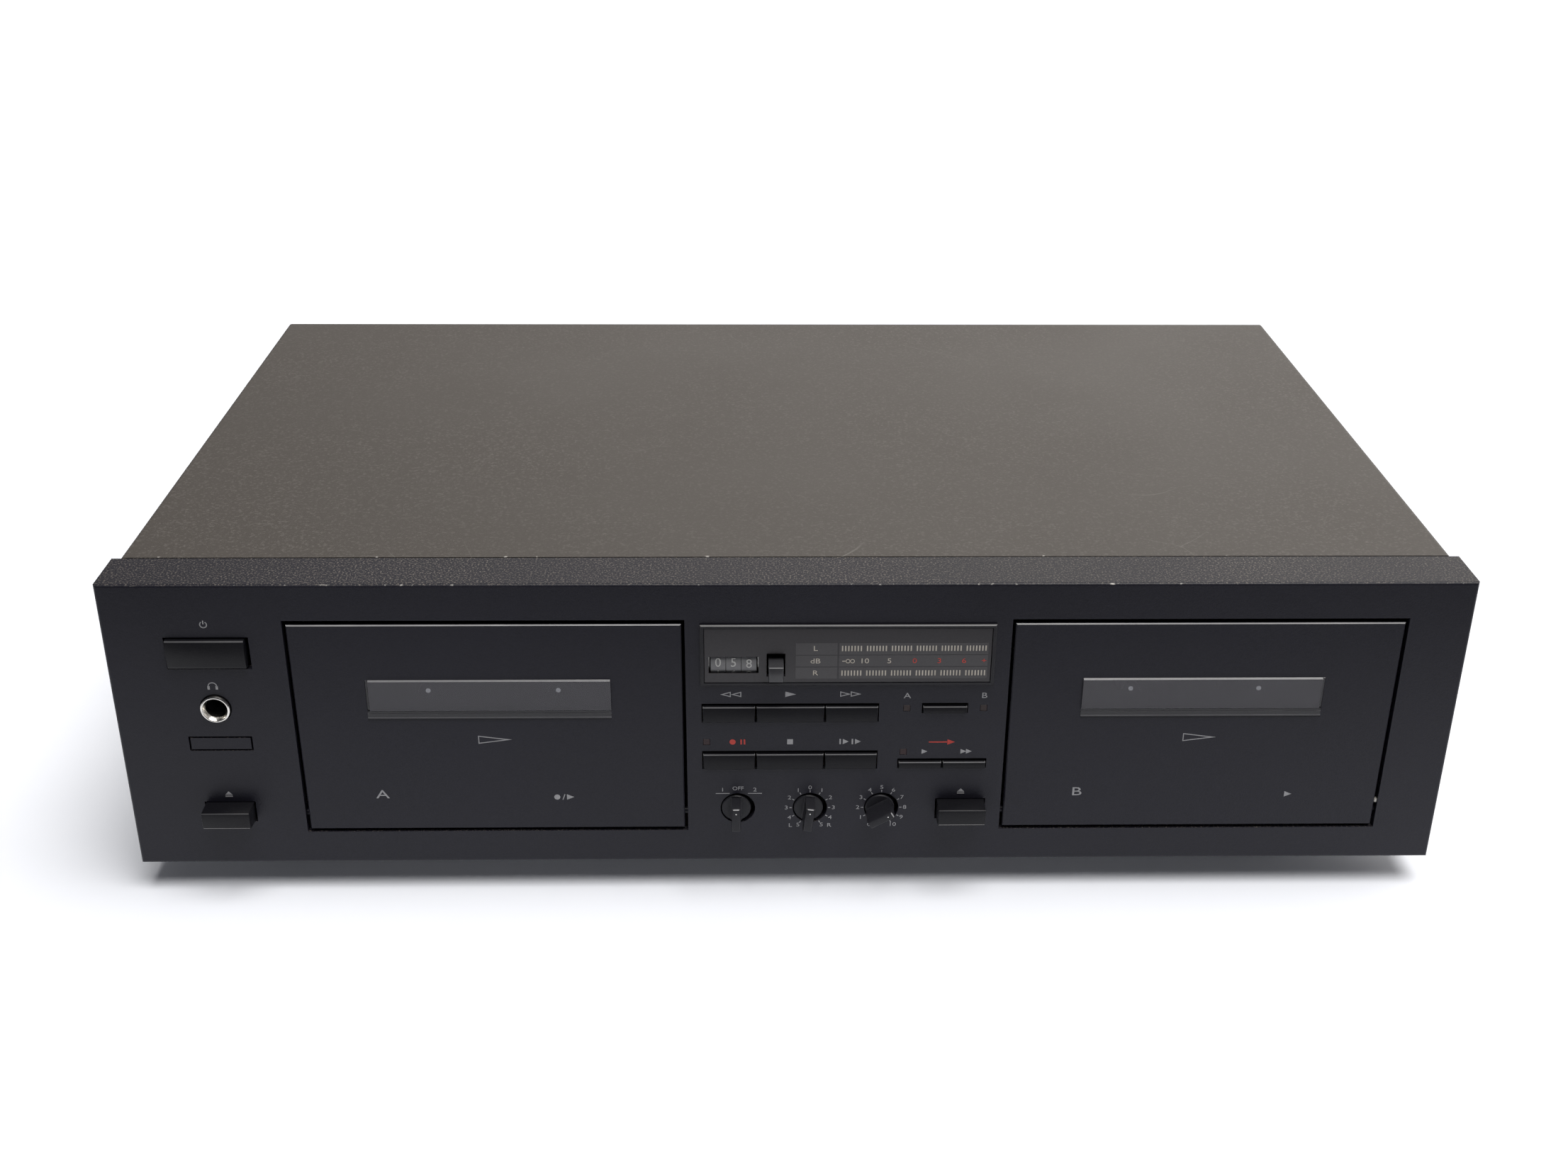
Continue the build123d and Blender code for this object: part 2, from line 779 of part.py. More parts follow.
def make_power_button():
    """The power key: a cap with a gently bulged face, on a long stem that reaches the switch."""
    cap = centred(left_column, power_centre, power_width / 2, power_height / 2, -power_reach, power_cap_depth)
    bulge_depth = power_bulge_radius - power_reach
    cap &= cross_rod(bulge_depth, power_centre, power_bulge_radius, -case_width, case_width)
    stem_end = power_cap_depth + power_stem_length
    return cap + rod(left_column, power_centre, power_stem_radius, power_cap_depth, stem_end)


def make_power_switch():
    """The mains switch on its bracket; the power key's stem slides in its bore."""
    stem_end = power_cap_depth + power_stem_length
    front = stem_end - power_stem_engage
    back = front + power_switch_length
    half_width = power_switch_half_width
    low = power_centre - power_switch_half_height
    switch = centred(left_column, power_centre, half_width, power_switch_half_height, front, back)
    bracket_sides = (left_column - half_width, left_column + half_width)
    switch += block(*bracket_sides, back - power_bracket_thick, back, plate_top, low)
    bore_end = stem_end + power_travel + loose_gap
    return switch - rod(left_column, power_centre, power_stem_radius + run_gap, front - overrun, bore_end)


def make_headphone_jack():
    """The headphone socket: a nickel ring in the panel's hole and a body behind it."""
    jack = rod(left_column, jack_centre, jack_ring_radius, -jack_ring_reach, panel_wall)
    body_back = panel_wall + jack_body_length
    jack += centred(left_column, jack_centre, jack_body_half, jack_body_half, panel_wall, body_back)
    bore_end = jack_bore_length - jack_ring_reach
    return jack - rod(left_column, jack_centre, jack_bore_radius, -jack_ring_reach - overrun, bore_end)


def make_blanking_plate():
    """A flush plate that closes an unused hole, held by a flange behind the panel."""
    half_width = blank_width / 2
    half_height = blank_height / 2
    plate = centred(left_column, blank_centre, half_width, half_height, 0, panel_wall)
    edge = blank_gap + blank_flange
    flange_half = (half_width + edge, half_height + edge)
    return plate + centred(left_column, blank_centre, *flange_half, panel_wall, panel_wall + blank_flange)


def make_door(centre):
    """A cassette door: flush front plate with a window, ears and hinge pins at its lower corners."""
    half = door_width / 2
    door = block(centre - half, centre + half, 0, door_thick, door_low, door_high)
    door = chamfer(front_edges(door), door_bevel)
    lens_half = lens_width / 2
    lens_high = lens_low + lens_height
    door -= block(centre - lens_half, centre + lens_half, -overrun, door_thick + overrun, lens_low, lens_high)
    ear_low = hinge_height - ear_half_height
    ear_high = hinge_height + ear_half_height
    pin_end = half + door_side_gap + lug_width - loose_gap
    for side in (-1, 1):
        ear_ends = sorted((centre + side * half, centre + side * (half - ear_width)))
        door += block(*ear_ends, door_thick, door_thick + ear_reach, ear_low, ear_high)
        pin_ends = sorted((centre + side * (half - ear_width), centre + side * pin_end))
        door += cross_rod(hinge_depth, hinge_height, pin_radius, *pin_ends)
    return door


def make_door_lens(centre):
    """The clear pane set in the door's window."""
    half = lens_width / 2
    return block(centre - half, centre + half, lens_sink, door_thick, lens_low, lens_low + lens_height)


def make_cassette_holder(centre):
    """The carrier behind the door: a windowed plate with a side channel and a floor ledge at each end."""
    half = holder_half
    holder = block(centre - half, centre + half, door_thick, holder_front, floor_low, holder_high)
    view_half = lens_width / 2 + holder_window_margin
    view_low = lens_low - holder_window_margin
    view_high = lens_low + lens_height + holder_window_margin
    view_back = holder_front + overrun
    holder -= block(centre - view_half, centre + view_half, 0, view_back, view_low, view_high)
    inside = half - holder_wall
    back_wall = holder_back - holder_wall
    for side in (-1, 1):
        wall_ends = sorted((centre + side * half, centre + side * inside))
        holder += block(*wall_ends, holder_front, holder_back, floor_low, holder_high)
        lip_ends = sorted((centre + side * inside, centre + side * (inside - holder_lip)))
        holder += block(*lip_ends, back_wall, holder_back, floor_low, holder_high)
        floor_ends = sorted((centre + side * inside, centre + side * (inside - holder_floor_length)))
        holder += block(*floor_ends, holder_front, back_wall, floor_low, floor_top)
    return holder


def reel_places(centre):
    """The two reel axes of a deck: supply at the left, take-up at the right."""
    return {"supply": centre - hub_spacing / 2, "take_up": centre + hub_spacing / 2}


def make_mechanism_frame(centre):
    """The deck's chassis: a front plate with a foot, a rear bearing plate and four pillars."""
    left = centre - frame_half_width
    right = centre + frame_half_width
    capstan_x = centre + capstan_side
    motor_x = centre + motor_side
    rear_low = plate_top + rear_plate_lift
    rear_high = plate_top + rear_plate_height
    frame = block(left, right, frame_front, frame_back, plate_top, plate_top + frame_height)
    frame += block(left, right, frame_back, frame_back + frame_foot, plate_top, plate_top + frame_plate)
    frame += block(left, right, bay_back, rear_plate_back, rear_low, rear_high)
    for x in (left + pillar_inset, right - pillar_inset):
        for height in (rear_low + pillar_end_inset, rear_high - pillar_end_inset):
            frame += rod(x, height, pillar_radius, frame_back, bay_back)
    before = frame_front - overrun
    behind = rear_plate_back + overrun
    frame -= rod(capstan_x, capstan_height, capstan_radius + run_gap, before, behind)
    frame -= rod(motor_x, capstan_height, capstan_radius + loose_gap, bay_back - overrun, behind)
    for x in reel_places(centre).values():
        frame -= rod(x, spindle_height, reel_shaft_radius + run_gap, before, frame_back + overrun)
    return frame


def make_reel(x):
    """A reel drive: finned spindle, table, shaft through the frame and a collar behind it."""
    table_back = frame_front - loose_gap
    table_front = table_back - reel_table_thick
    collar_front = frame_back + loose_gap
    reel = rod(x, spindle_height, spindle_radius, spindle_tip_depth, table_front)
    reel += rod(x, spindle_height, reel_table_radius, table_front, table_back)
    reel += rod(x, spindle_height, reel_shaft_radius, table_back, collar_front)
    reel += rod(x, spindle_height, reel_collar_radius, collar_front, collar_front + reel_collar_thick)
    fin_height = spindle_radius + spindle_fin_reach
    fin_front = spindle_tip_depth + spindle_fin_reach
    fin_middle = Pos(x, face_y + (fin_front + table_front) / 2, ground_gap + spindle_height)
    for index in range(spindle_fins):
        fin = Pos(0, 0, fin_height / 2) * Box(spindle_fin_width, table_front - fin_front, fin_height)
        reel += fin_middle * Rot(0, 360 * index / spindle_fins, 0) * fin
    return reel


def make_flywheel(centre):
    """The flywheel with its capstan, which runs in both plates of the frame."""
    x = centre + capstan_side
    wheel = rod(x, capstan_height, flywheel_radius, flywheel_front, flywheel_back)
    return wheel + rod(x, capstan_height, capstan_radius, capstan_tip_depth, rear_plate_back)


def make_motor_pulley(centre):
    """The motor's pulley and shaft."""
    x = centre + motor_side
    pulley = rod(x, capstan_height, pulley_radius, flywheel_front, flywheel_back)
    shaft_end = rear_plate_back + motor_bore_depth - loose_gap
    return pulley + rod(x, capstan_height, capstan_radius, flywheel_back, shaft_end)


def make_drive_motors():
    """One motor behind each deck's rear plate."""
    motors = []
    for centre in deck_centres.values():
        x = centre + motor_side
        can = rod(x, capstan_height, motor_radius, rear_plate_back, rear_plate_back + motor_length)
        bore_end = rear_plate_back + motor_bore_depth
        bore = rod(x, capstan_height, capstan_radius + run_gap, rear_plate_back - overrun, bore_end)
        motors.append(can - bore)
    return motors


def belt_outline(offset):
    """The loop that lies so far outside a deck's flywheel and pulley, round the deck's middle."""
    wheel = Pos(capstan_side, 0) * Circle(flywheel_radius + offset)
    pulley = Pos(motor_side, 0) * Circle(pulley_radius + offset)
    return make_hull((wheel + pulley).edges())


def make_drive_belts():
    """A flat rubber belt round each deck's flywheel and motor pulley."""
    loop = belt_outline(loose_gap + belt_thick) - belt_outline(loose_gap)
    belt = extrude(Plane.XZ * loop, amount=belt_width / 2, both=True)
    belt_y = face_y + (flywheel_front + flywheel_back) / 2
    return [Pos(centre, belt_y, ground_gap + capstan_height) * belt for centre in deck_centres.values()]


def make_head_bridge(centre):
    """The sliding bridge with the roller's pin, and the tape head that stands on it."""
    bridge_sides = (centre - bridge_half_width, centre + bridge_half_width)
    bridge = block(*bridge_sides, bridge_front, bridge_back, bridge_low, head_high)
    pin_front = bridge_front - roller_setback - roller_width - roller_pin_radius
    bridge += rod(centre + capstan_side, roller_height, roller_pin_radius, pin_front, bridge_front)
    head_front = bridge_front - head_reach
    head_sides = (centre - head_half_width, centre + head_half_width)
    head = block(*head_sides, head_front, bridge_front, head_high - head_height, head_high)
    return [bridge, head]


def make_pinch_roller(centre):
    """The rubber roller that presses the tape on the capstan."""
    x = centre + capstan_side
    back = bridge_front - roller_setback
    front = back - roller_width
    bore_radius = roller_pin_radius + run_gap
    bore = rod(x, roller_height, bore_radius, front - overrun, back + overrun)
    return rod(x, roller_height, roller_radius, front, back) - bore


def make_line_jacks():
    """The block of phono sockets: an insulator inside the rear panel and four barrels through it."""
    margin = line_jack_pitch / 2 + line_block_margin
    left = line_jack_centre - margin
    right = line_jack_centre + margin
    low = plate_top + main_board_rise + board_thick
    high = line_jack_height + margin
    jacks = block(left, right, rear_flange_front - line_block_depth, rear_flange_front, low, high)
    jacks += block(left, right, rear_flange_front, rear_inner, plate_top + flange_rise + loose_gap, high)
    neck_end = rear_outer + line_jack_neck
    tip = rear_outer + line_jack_reach
    for x, height in line_jack_places():
        jacks += rod(x, height, line_jack_neck_radius, rear_inner, neck_end)
        jacks += rod(x, height, line_jack_radius, neck_end, tip)
        jacks -= rod(x, height, line_jack_bore_radius, tip - line_jack_bore_depth, tip + overrun)
    return jacks


def make_mains_gland():
    """The bush that the mains lead would pass through, clamped in the rear panel."""
    barrel_front = rear_inner - gland_nut
    gland = rod(gland_place, gland_height, gland_barrel_radius, barrel_front, rear_outer + gland_flange)
    gland += rod(gland_place, gland_height, gland_flange_radius, rear_outer, rear_outer + gland_flange)
    gland += rod(gland_place, gland_height, gland_flange_radius, barrel_front, rear_inner)
    bore_back = rear_outer + gland_flange + overrun
    return gland - rod(gland_place, gland_height, gland_bore_radius, barrel_front - overrun, bore_back)


def make_power_transformer():
    """The mains transformer: a laminated core and the coil that passes through it."""
    middle = rear_inner - transformer_setback
    left = transformer_place - transformer_half_width
    right = transformer_place + transformer_half_width
    high = plate_top + transformer_height
    core_faces = (middle - transformer_half_depth, middle + transformer_half_depth)
    core = block(left, right, *core_faces, plate_top, high)
    coil_left = transformer_place - coil_half_width
    coil_right = transformer_place + coil_half_width
    coil_faces = (middle - coil_half_depth, middle + coil_half_depth)
    coil = block(coil_left, coil_right, *coil_faces, plate_top + coil_margin, high - coil_margin)
    return [core - coil, coil]


nodes = {
    "front_panel": make_front_panel(),
    "top_cover": make_top_cover(),
    "bottom_plate": make_bottom_plate(),
    "rear_panel": make_rear_panel(),
    "feet": make_feet(),
    "case_screws": make_case_screws(),
    "display_window": make_display_window(),
    "level_meter": make_level_meter(),
    "counter_frame": make_counter_frame(),
    "counter_hundreds_wheel": make_counter_wheel(-1),
    "counter_tens_wheel": make_counter_wheel(0),
    "counter_units_wheel": make_counter_wheel(1),
    "counter_reset_button": make_reset_button(),
    "circuit_boards": make_circuit_boards(),
    "push_switches": make_push_switches(),
    "potentiometers": make_potentiometers(),
    "indicator_lamps": make_indicator_lamps(),
    "power_button": make_power_button(),
    "power_switch": make_power_switch(),
    "headphone_jack": make_headphone_jack(),
    "blanking_plate": make_blanking_plate(),
    "drive_motors": make_drive_motors(),
    "drive_belts": make_drive_belts(),
    "line_jacks": make_line_jacks(),
    "mains_gland": make_mains_gland(),
    "power_transformer": make_power_transformer(),
}
for key_name, key_middle, key_height, key_width, key_tall in key_table():
    nodes[key_name] = make_push_key(key_middle, key_height, key_width, key_tall)
for knob_name, knob_axis in knob_axes.items():
    nodes[knob_name + "_knob"] = make_knob(knob_axis, knob_rest_turns[knob_name])
for deck, deck_centre in deck_centres.items():
    nodes["eject_button_" + deck] = make_eject_button(eject_centres[deck])
    nodes["door_" + deck] = make_door(deck_centre)
    nodes["door_lens_" + deck] = make_door_lens(deck_centre)
    nodes["cassette_holder_" + deck] = make_cassette_holder(deck_centre)
    nodes["mechanism_frame_" + deck] = make_mechanism_frame(deck_centre)
    nodes["flywheel_" + deck] = make_flywheel(deck_centre)
    nodes["motor_pulley_" + deck] = make_motor_pulley(deck_centre)
    nodes["head_bridge_" + deck] = make_head_bridge(deck_centre)
    nodes["pinch_roller_" + deck] = make_pinch_roller(deck_centre)
    for reel_name, reel_x in reel_places(deck_centre).items():
        nodes[reel_name + "_reel_" + deck] = make_reel(reel_x)

os.makedirs("parts", exist_ok=True)
for name, shape in nodes.items():
    pieces = shape if isinstance(shape, list) else [shape]
    solids = [solid for piece in pieces for solid in piece.solids()]
    export_step(Compound(children=solids), f"parts/{name}.step")
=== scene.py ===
import math

import bpy
from mathutils import Matrix, Vector


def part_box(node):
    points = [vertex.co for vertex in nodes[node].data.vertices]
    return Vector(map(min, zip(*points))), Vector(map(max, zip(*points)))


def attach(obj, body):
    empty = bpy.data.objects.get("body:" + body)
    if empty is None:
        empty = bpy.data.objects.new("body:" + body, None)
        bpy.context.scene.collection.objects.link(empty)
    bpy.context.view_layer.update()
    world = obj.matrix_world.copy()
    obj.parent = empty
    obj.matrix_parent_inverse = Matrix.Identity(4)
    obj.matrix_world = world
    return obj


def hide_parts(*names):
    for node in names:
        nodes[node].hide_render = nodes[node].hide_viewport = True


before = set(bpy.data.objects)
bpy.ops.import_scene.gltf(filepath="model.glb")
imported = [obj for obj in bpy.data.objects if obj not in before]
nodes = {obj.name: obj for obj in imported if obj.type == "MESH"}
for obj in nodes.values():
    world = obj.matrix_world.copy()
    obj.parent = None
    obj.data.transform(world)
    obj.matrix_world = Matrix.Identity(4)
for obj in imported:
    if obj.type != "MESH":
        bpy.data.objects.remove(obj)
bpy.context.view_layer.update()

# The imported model: its box, its nodes, and the panel's face and lower edge, which every place
# on the front is given from: x from the middle, depth behind the face, height above the edge.
mm = 0.001
panel_low, panel_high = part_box("front_panel")


def at(x, depth, height):
    """A place on the deck, given in millimetres from the front panel."""
    return Vector((x * mm, panel_low.y + depth * mm, panel_low.z + height * mm))


# Base plate: one sheet of zinc-plated steel, folded up at three sides, that closes the case from below.
# Rolled sheet: pale grey metal with a faint spangle and soft patches where the plating is duller.
def add_node(tree, kind, inputs=None, **options):
    """Adds a shader node with its options and inputs, and gives its outputs."""
    node = tree.nodes.new(f"ShaderNode{kind}")
    for option, value in options.items():
        setattr(node, option, value)
    for socket, value in (inputs or {}).items():
        if isinstance(value, bpy.types.NodeSocket):
            tree.links.new(value, node.inputs[socket])
        else:
            node.inputs[socket].default_value = value
    return node.outputs


def mixed(tree, share, first, second):
    """The colour between two others, which a Mix node has at its sockets 6 and 7."""
    return add_node(tree, "Mix", {0: share, 6: first, 7: second}, data_type="RGBA")[2]


def noise(tree, place, scale, detail):
    """A soft noise of so many cells to the metre."""
    return add_node(tree, "TexNoise", {"Vector": place, "Scale": scale, "Detail": detail})["Fac"]


def ranged(tree, value, low, high, start=0.0, end=1.0, **options):
    """A value brought from one range to another and held at its ends."""
    limits = {"Value": value, "From Min": low, "From Max": high, "To Min": start, "To Max": end}
    return add_node(tree, "MapRange", limits, **options)[0]


def maths(tree, operation, first, second, **options):
    """What a Math node makes of two values."""
    return add_node(tree, "Math", {0: first, 1: second}, operation=operation, **options)[0]


def product(tree, first, *others):
    """Values multiplied with one another."""
    for other in others:
        first = maths(tree, "MULTIPLY", first, other)
    return first


def node_group(name, inputs, build, outputs=("Mask",)):
    """A shader node group with named sockets, whose nodes a function builds."""
    group = bpy.data.node_groups.new(name, "ShaderNodeTree")
    for label, value in inputs.items():
        kind = "NodeSocketFloat" if isinstance(value, float) else "NodeSocketColor"
        group.interface.new_socket(label, in_out="INPUT", socket_type=kind).default_value = value
    kinds = {"Colour": "NodeSocketColor", "Normal": "NodeSocketVector"}
    for label in outputs:
        kind = kinds.get(label, "NodeSocketFloat")
        group.interface.new_socket(label, in_out="OUTPUT", socket_type=kind)
    given, results = group.nodes.new("NodeGroupInput"), group.nodes.new("NodeGroupOutput")
    made = build(group, add_node(group, "TexCoord")["Object"], given.outputs)
    for label, socket in zip(outputs, made):
        group.links.new(socket, results.inputs[label])
    return group


def grain_nodes(group, place, given):
    """Two tones in broad patches and fine specks, gloss that follows them, and a fine relief."""
    fine = noise(group, place, given["Grain"], 3.0)
    broad = noise(group, place, given["Patches"], 4.0)
    share = ranged(group, maths(group, "ADD", fine, broad), 0.75, 1.25)
    tone = mixed(group, share, given["Colour"], given["Second Colour"])
    gloss = ranged(group, broad, 0.3, 0.7, given["Smooth"], given["Rough"])
    relief = {"Height": fine, "Strength": given["Relief"], "Distance": 0.0002}
    return tone, gloss, add_node(group, "Bump", relief)[0]


grain_inputs = {"Colour": (0.5, 0.5, 0.5, 1), "Second Colour": (0.4, 0.4, 0.4, 1), "Grain": 1500.0}
grain_inputs |= {"Patches": 20.0, "Smooth": 0.35, "Rough": 0.5, "Relief": 0.2}
surface_grain = node_group("surface_grain", grain_inputs, grain_nodes, ("Colour", "Roughness", "Normal"))


def grained(name, colour, second, grain, patches, smooth, rough, relief, metallic=0.0, shine=0.5, more=None):
    """A material of one surface grain; more holds further constants of its Principled shader."""
    material = bpy.data.materials.new(name)
    material.use_nodes = True
    tree = material.node_tree
    shader = tree.nodes["Principled BSDF"].inputs
    shader["Metallic"].default_value = metallic
    shader["Specular IOR Level"].default_value = shine
    for socket, value in (more or {}).items():
        shader[socket].default_value = value
    values = ((*colour, 1), (*second, 1), grain, patches, smooth, rough, relief)
    given = dict(zip(grain_inputs, values))
    surface = add_node(tree, "Group", given, node_tree=surface_grain, name="surface")
    for result, socket in (("Colour", "Base Color"), ("Roughness", "Roughness"), ("Normal", "Normal")):
        tree.links.new(surface[result], shader[socket])
    return material


def dress(material, *names):
    """Gives CAD nodes a finish."""
    for name in names:
        for holder in nodes[name].material_slots:
            holder.material = material


plated_steel = grained(
    "plated_steel", (0.50, 0.50, 0.48), (0.40, 0.40, 0.39), 900, 35, 0.32, 0.5, 0.12, metallic=1.0
)
dress(plated_steel, "bottom_plate")


# Feet: four turned-looking discs of black moulded plastic, each screwed to the base plate,
# with a rounded upper edge, a grip groove round the side and a rubber pad let into the sole.
def only(piece):
    """Selects one piece alone and makes it the active one."""
    bpy.ops.object.select_all(action="DESELECT")
    piece.select_set(True)
    bpy.context.view_layer.objects.active = piece


def settled(piece):
    """Brings a piece's place, turn and scale into its mesh."""
    only(piece)
    bpy.ops.object.transform_apply(location=True, rotation=True, scale=True)
    return piece


def aimed(piece, place, axis):
    """Turns an upright piece to an axis of the deck and sets it in its place."""
    quarter = math.pi / 2
    turns = {"up": (0, 0, 0), "front": (quarter, 0, 0), "rear": (-quarter, 0, 0)}
    turns |= {"right": (0, quarter, 0), "left": (0, -quarter, 0)}
    piece.rotation_euler = turns[axis]
    piece.location = place
    return settled(piece)


weld = 0.001 * mm


def opened(piece):
    """Opens a piece for editing with all of it selected."""
    only(piece)
    bpy.ops.object.mode_set(mode="EDIT")
    bpy.ops.mesh.select_all(action="SELECT")


def closed():
    """Ends the editing of a piece, and gives it."""
    bpy.ops.object.mode_set(mode="OBJECT")
    return bpy.context.active_object


def turned(profile, place, axis, sides=48):
    """A piece as from a lathe: a circle extruded from radius to radius, bored where its profile closes."""
    rings = [(radius * mm, reach * mm) for radius, reach in profile]
    radius, reach = rings[0]
    fill = "NOTHING" if rings[0] == rings[-1] else "NGON"
    bpy.ops.mesh.primitive_circle_add(vertices=sides, radius=radius, fill_type=fill, location=(0, 0, reach))
    opened(settled(bpy.context.active_object))
    for next_radius, next_reach in rings[1:]:
        bpy.ops.mesh.extrude_region_move(TRANSFORM_OT_translate={"value": (0, 0, next_reach - reach)})
        growth = next_radius / radius
        bpy.ops.transform.resize(value=(growth, growth, 1), center_override=(0, 0, next_reach))
        radius, reach = next_radius, next_reach
    bpy.ops.mesh.select_all(action="SELECT")
    bpy.ops.mesh.remove_doubles(threshold=weld)
    bpy.ops.mesh.normals_make_consistent(inside=False)
    return aimed(closed(), place, axis)


smooth_angle = math.radians(32)


def hand_in(piece, name, material, body, slot, *replaced):
    """Names and finishes a piece, and lets it ride on its CAD body in place of the nodes it replaces."""
    only(piece)
    bpy.ops.object.shade_smooth_by_angle(angle=smooth_angle)
    piece.name = name
    piece.data.name = name
    piece.data.materials.clear()
    piece.data.materials.append(material)
    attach(piece, body)
    if replaced:
        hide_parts(*replaced)


foot_plastic = grained("foot_plastic", (0.022, 0.022, 0.023), (0.03, 0.03, 0.03), 1600, 60, 0.45, 0.62, 0.35)
foot_rubber = grained("foot_rubber", (0.035, 0.034, 0.033), (0.05, 0.048, 0.046), 1100, 90, 0.75, 0.9, 0.5)
foot_radius = 20.0
foot_profile = [(17.6, 2.0), (17.6, 0.6), (18.4, 0.6), (20.0, 2.2), (20.0, 6.6), (19.3, 7.2), (19.3, 8.4)]
foot_profile += [(20.0, 9.0), (20.0, 12.6), (19.6, 13.4), (18.6, 13.8)]
pad_profile = [(17.0, 2.0), (17.0, 0.8), (16.4, 0.0), (11.0, 0.0), (10.6, 0.5), (5.0, 0.5)]
foot_parts = (("foot", foot_profile, foot_plastic), ("foot_pad", pad_profile, foot_rubber))
feet_low, feet_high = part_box("feet")
foot_sides = {"left": feet_low.x + foot_radius * mm, "right": feet_high.x - foot_radius * mm}
foot_ends = {"front": feet_low.y + foot_radius * mm, "rear": feet_high.y - foot_radius * mm}
for side, foot_x in foot_sides.items():
    for end, foot_y in foot_ends.items():
        for name, profile, material in foot_parts:
            piece = turned(profile, (foot_x, foot_y, 0), "up", sides=64)
            hand_in(piece, f"{name}_{end}_{side}", material, "case", "foot_plastic", "feet")


# Rear panel: a flat sheet of zinc-plated steel behind the lid's rear edge, screwed to the base plate's fold.
# It keeps its CAD shape, with holes for the sockets and the mains gland.
dress(plated_steel, "rear_panel")


# Case screws: blackened pan-head screws, two in each side of the lid and three in the rear panel.
# The dome is turned, and the cross recess is cut into it as two crossed slots with straight walls.
def start_block(low, high):
    """A block between two corners, as the start of a piece."""
    low, high = Vector(low), Vector(high)
    bpy.ops.mesh.primitive_cube_add(size=1, location=(low + high) / 2, scale=high - low)
    return settled(bpy.context.active_object)


def cut(piece, cutter):
    """Takes one piece's shape out of another, and removes the cutter."""
    change = piece.modifiers.new("cut", "BOOLEAN")
    change.operation = "DIFFERENCE"
    change.object = cutter
    only(piece)
    bpy.ops.object.modifier_apply(modifier=change.name)
    bpy.data.objects.remove(cutter)


screw_steel = grained(
    "screw_steel", (0.06, 0.06, 0.062), (0.12, 0.115, 0.11), 1400, 300, 0.28, 0.45, 0.15, metallic=1.0
)
screw_profile = [(1.5, -7.0), (1.5, 0.0), (3.4, 0.0), (3.4, 0.5), (3.1, 1.05), (2.4, 1.42), (1.2, 1.6)]
recess_half_width, recess_reach = 0.45, 1.9
recess_floor, recess_mouth = 0.7, 2.0
screw_height = 10.8
side_screw_depths = {"front": 60.1, "rear": 220.0}
rear_screw_x = {"left": -150.0, "middle": 0.0, "right": 150.0}
cover_low, cover_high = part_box("top_cover")
back_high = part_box("rear_panel")[1]


def cross_head_screw(place, axis, name):
    """One screw, with its head out along the axis."""
    screw = turned(screw_profile, (0, 0, 0), "up", sides=32)
    for x, y in ((recess_half_width, recess_reach), (recess_reach, recess_half_width)):
        low = (-x * mm, -y * mm, recess_floor * mm)
        cut(screw, start_block(low, (x * mm, y * mm, recess_mouth * mm)))
    hand_in(aimed(screw, place, axis), name, screw_steel, "case", "screw_steel", "case_screws")


for end, depth in side_screw_depths.items():
    for side, wall_x in (("left", cover_low.x), ("right", cover_high.x)):
        middle = at(0, depth, screw_height)
        cross_head_screw((wall_x, middle.y, middle.z), side, f"lid_screw_{end}_{side}")
for side, screw_x in rear_screw_x.items():
    middle = at(screw_x, 0, screw_height)
    cross_head_screw((middle.x, back_high.y, middle.z), "rear", f"rear_screw_{side}")


# Line sockets: four phono sockets in a black insulating block behind the rear panel. Each has a nickel-plated
# sleeve with a rounded mouth and a coloured insulator, white or red, sunk into it round the pin's hole.
close = 0.02 * mm


def on(x=None, y=None, z=None, ahead=math.inf):
    """A test of points: they lie on the planes that are given, and ahead of a depth."""
    planes = [(axis, value) for axis, value in enumerate((x, y, z)) if value is not None]
    return lambda co: co.y < ahead and all(abs(co[axis] - value) < close for axis, value in planes)


def pick(piece, kind, test):
    """Opens a piece for editing with those points, edges or faces selected whose points all pass a test."""
    opened(piece)
    bpy.ops.mesh.select_mode(type=kind)
    bpy.ops.mesh.select_all(action="DESELECT")
    closed()
    points = piece.data.vertices
    for part in {"VERT": points, "EDGE": piece.data.edges, "FACE": piece.data.polygons}[kind]:
        corners = [part] if kind == "VERT" else [points[corner] for corner in part.vertices]
        part.select = all(test(corner.co) for corner in corners)
    bpy.ops.object.mode_set(mode="EDIT")


def bevelled(piece, width, segments=2, **planes):
    """Bevels the edges of a piece that lie on all the planes given, or every edge."""
    pick(piece, "EDGE", on(**planes))
    bpy.ops.mesh.bevel(offset=width * mm, segments=segments, affect="EDGES")
    closed()


socket_nickel = grained(
    "socket_nickel", (0.78, 0.76, 0.72), (0.68, 0.66, 0.62), 1200, 120, 0.16, 0.28, 0.06, metallic=1.0
)
socket_black = grained("socket_black", (0.02, 0.02, 0.02), (0.028, 0.028, 0.028), 1500, 80, 0.4, 0.55, 0.25)
socket_white = grained("socket_white", (0.62, 0.61, 0.57), (0.55, 0.53, 0.48), 1500, 150, 0.3, 0.45, 0.1)
socket_red = grained("socket_red", (0.42, 0.02, 0.018), (0.34, 0.015, 0.014), 1500, 150, 0.3, 0.45, 0.1)
sleeve_profile = [(3.3, -1.0), (3.8, -1.0), (3.8, 0.5), (4.15, 0.5), (4.15, 9.1), (4.0, 9.4), (3.7, 9.5)]
sleeve_profile += [(3.4, 9.4), (3.3, 9.1), (3.3, -1.0)]
insulator_profile = [(1.6, -1.0), (3.28, -1.0), (3.28, 7.4), (2.3, 7.4), (1.8, 7.2), (1.6, 6.8), (1.6, -1.0)]
block_edge = 0.6
socket_block = start_block(at(101, 237, 18.1), at(139, 258, 59))
bevelled(socket_block, block_edge)
hand_in(socket_block, "line_socket_block", socket_black, "case", "socket_nickel", "line_jacks")
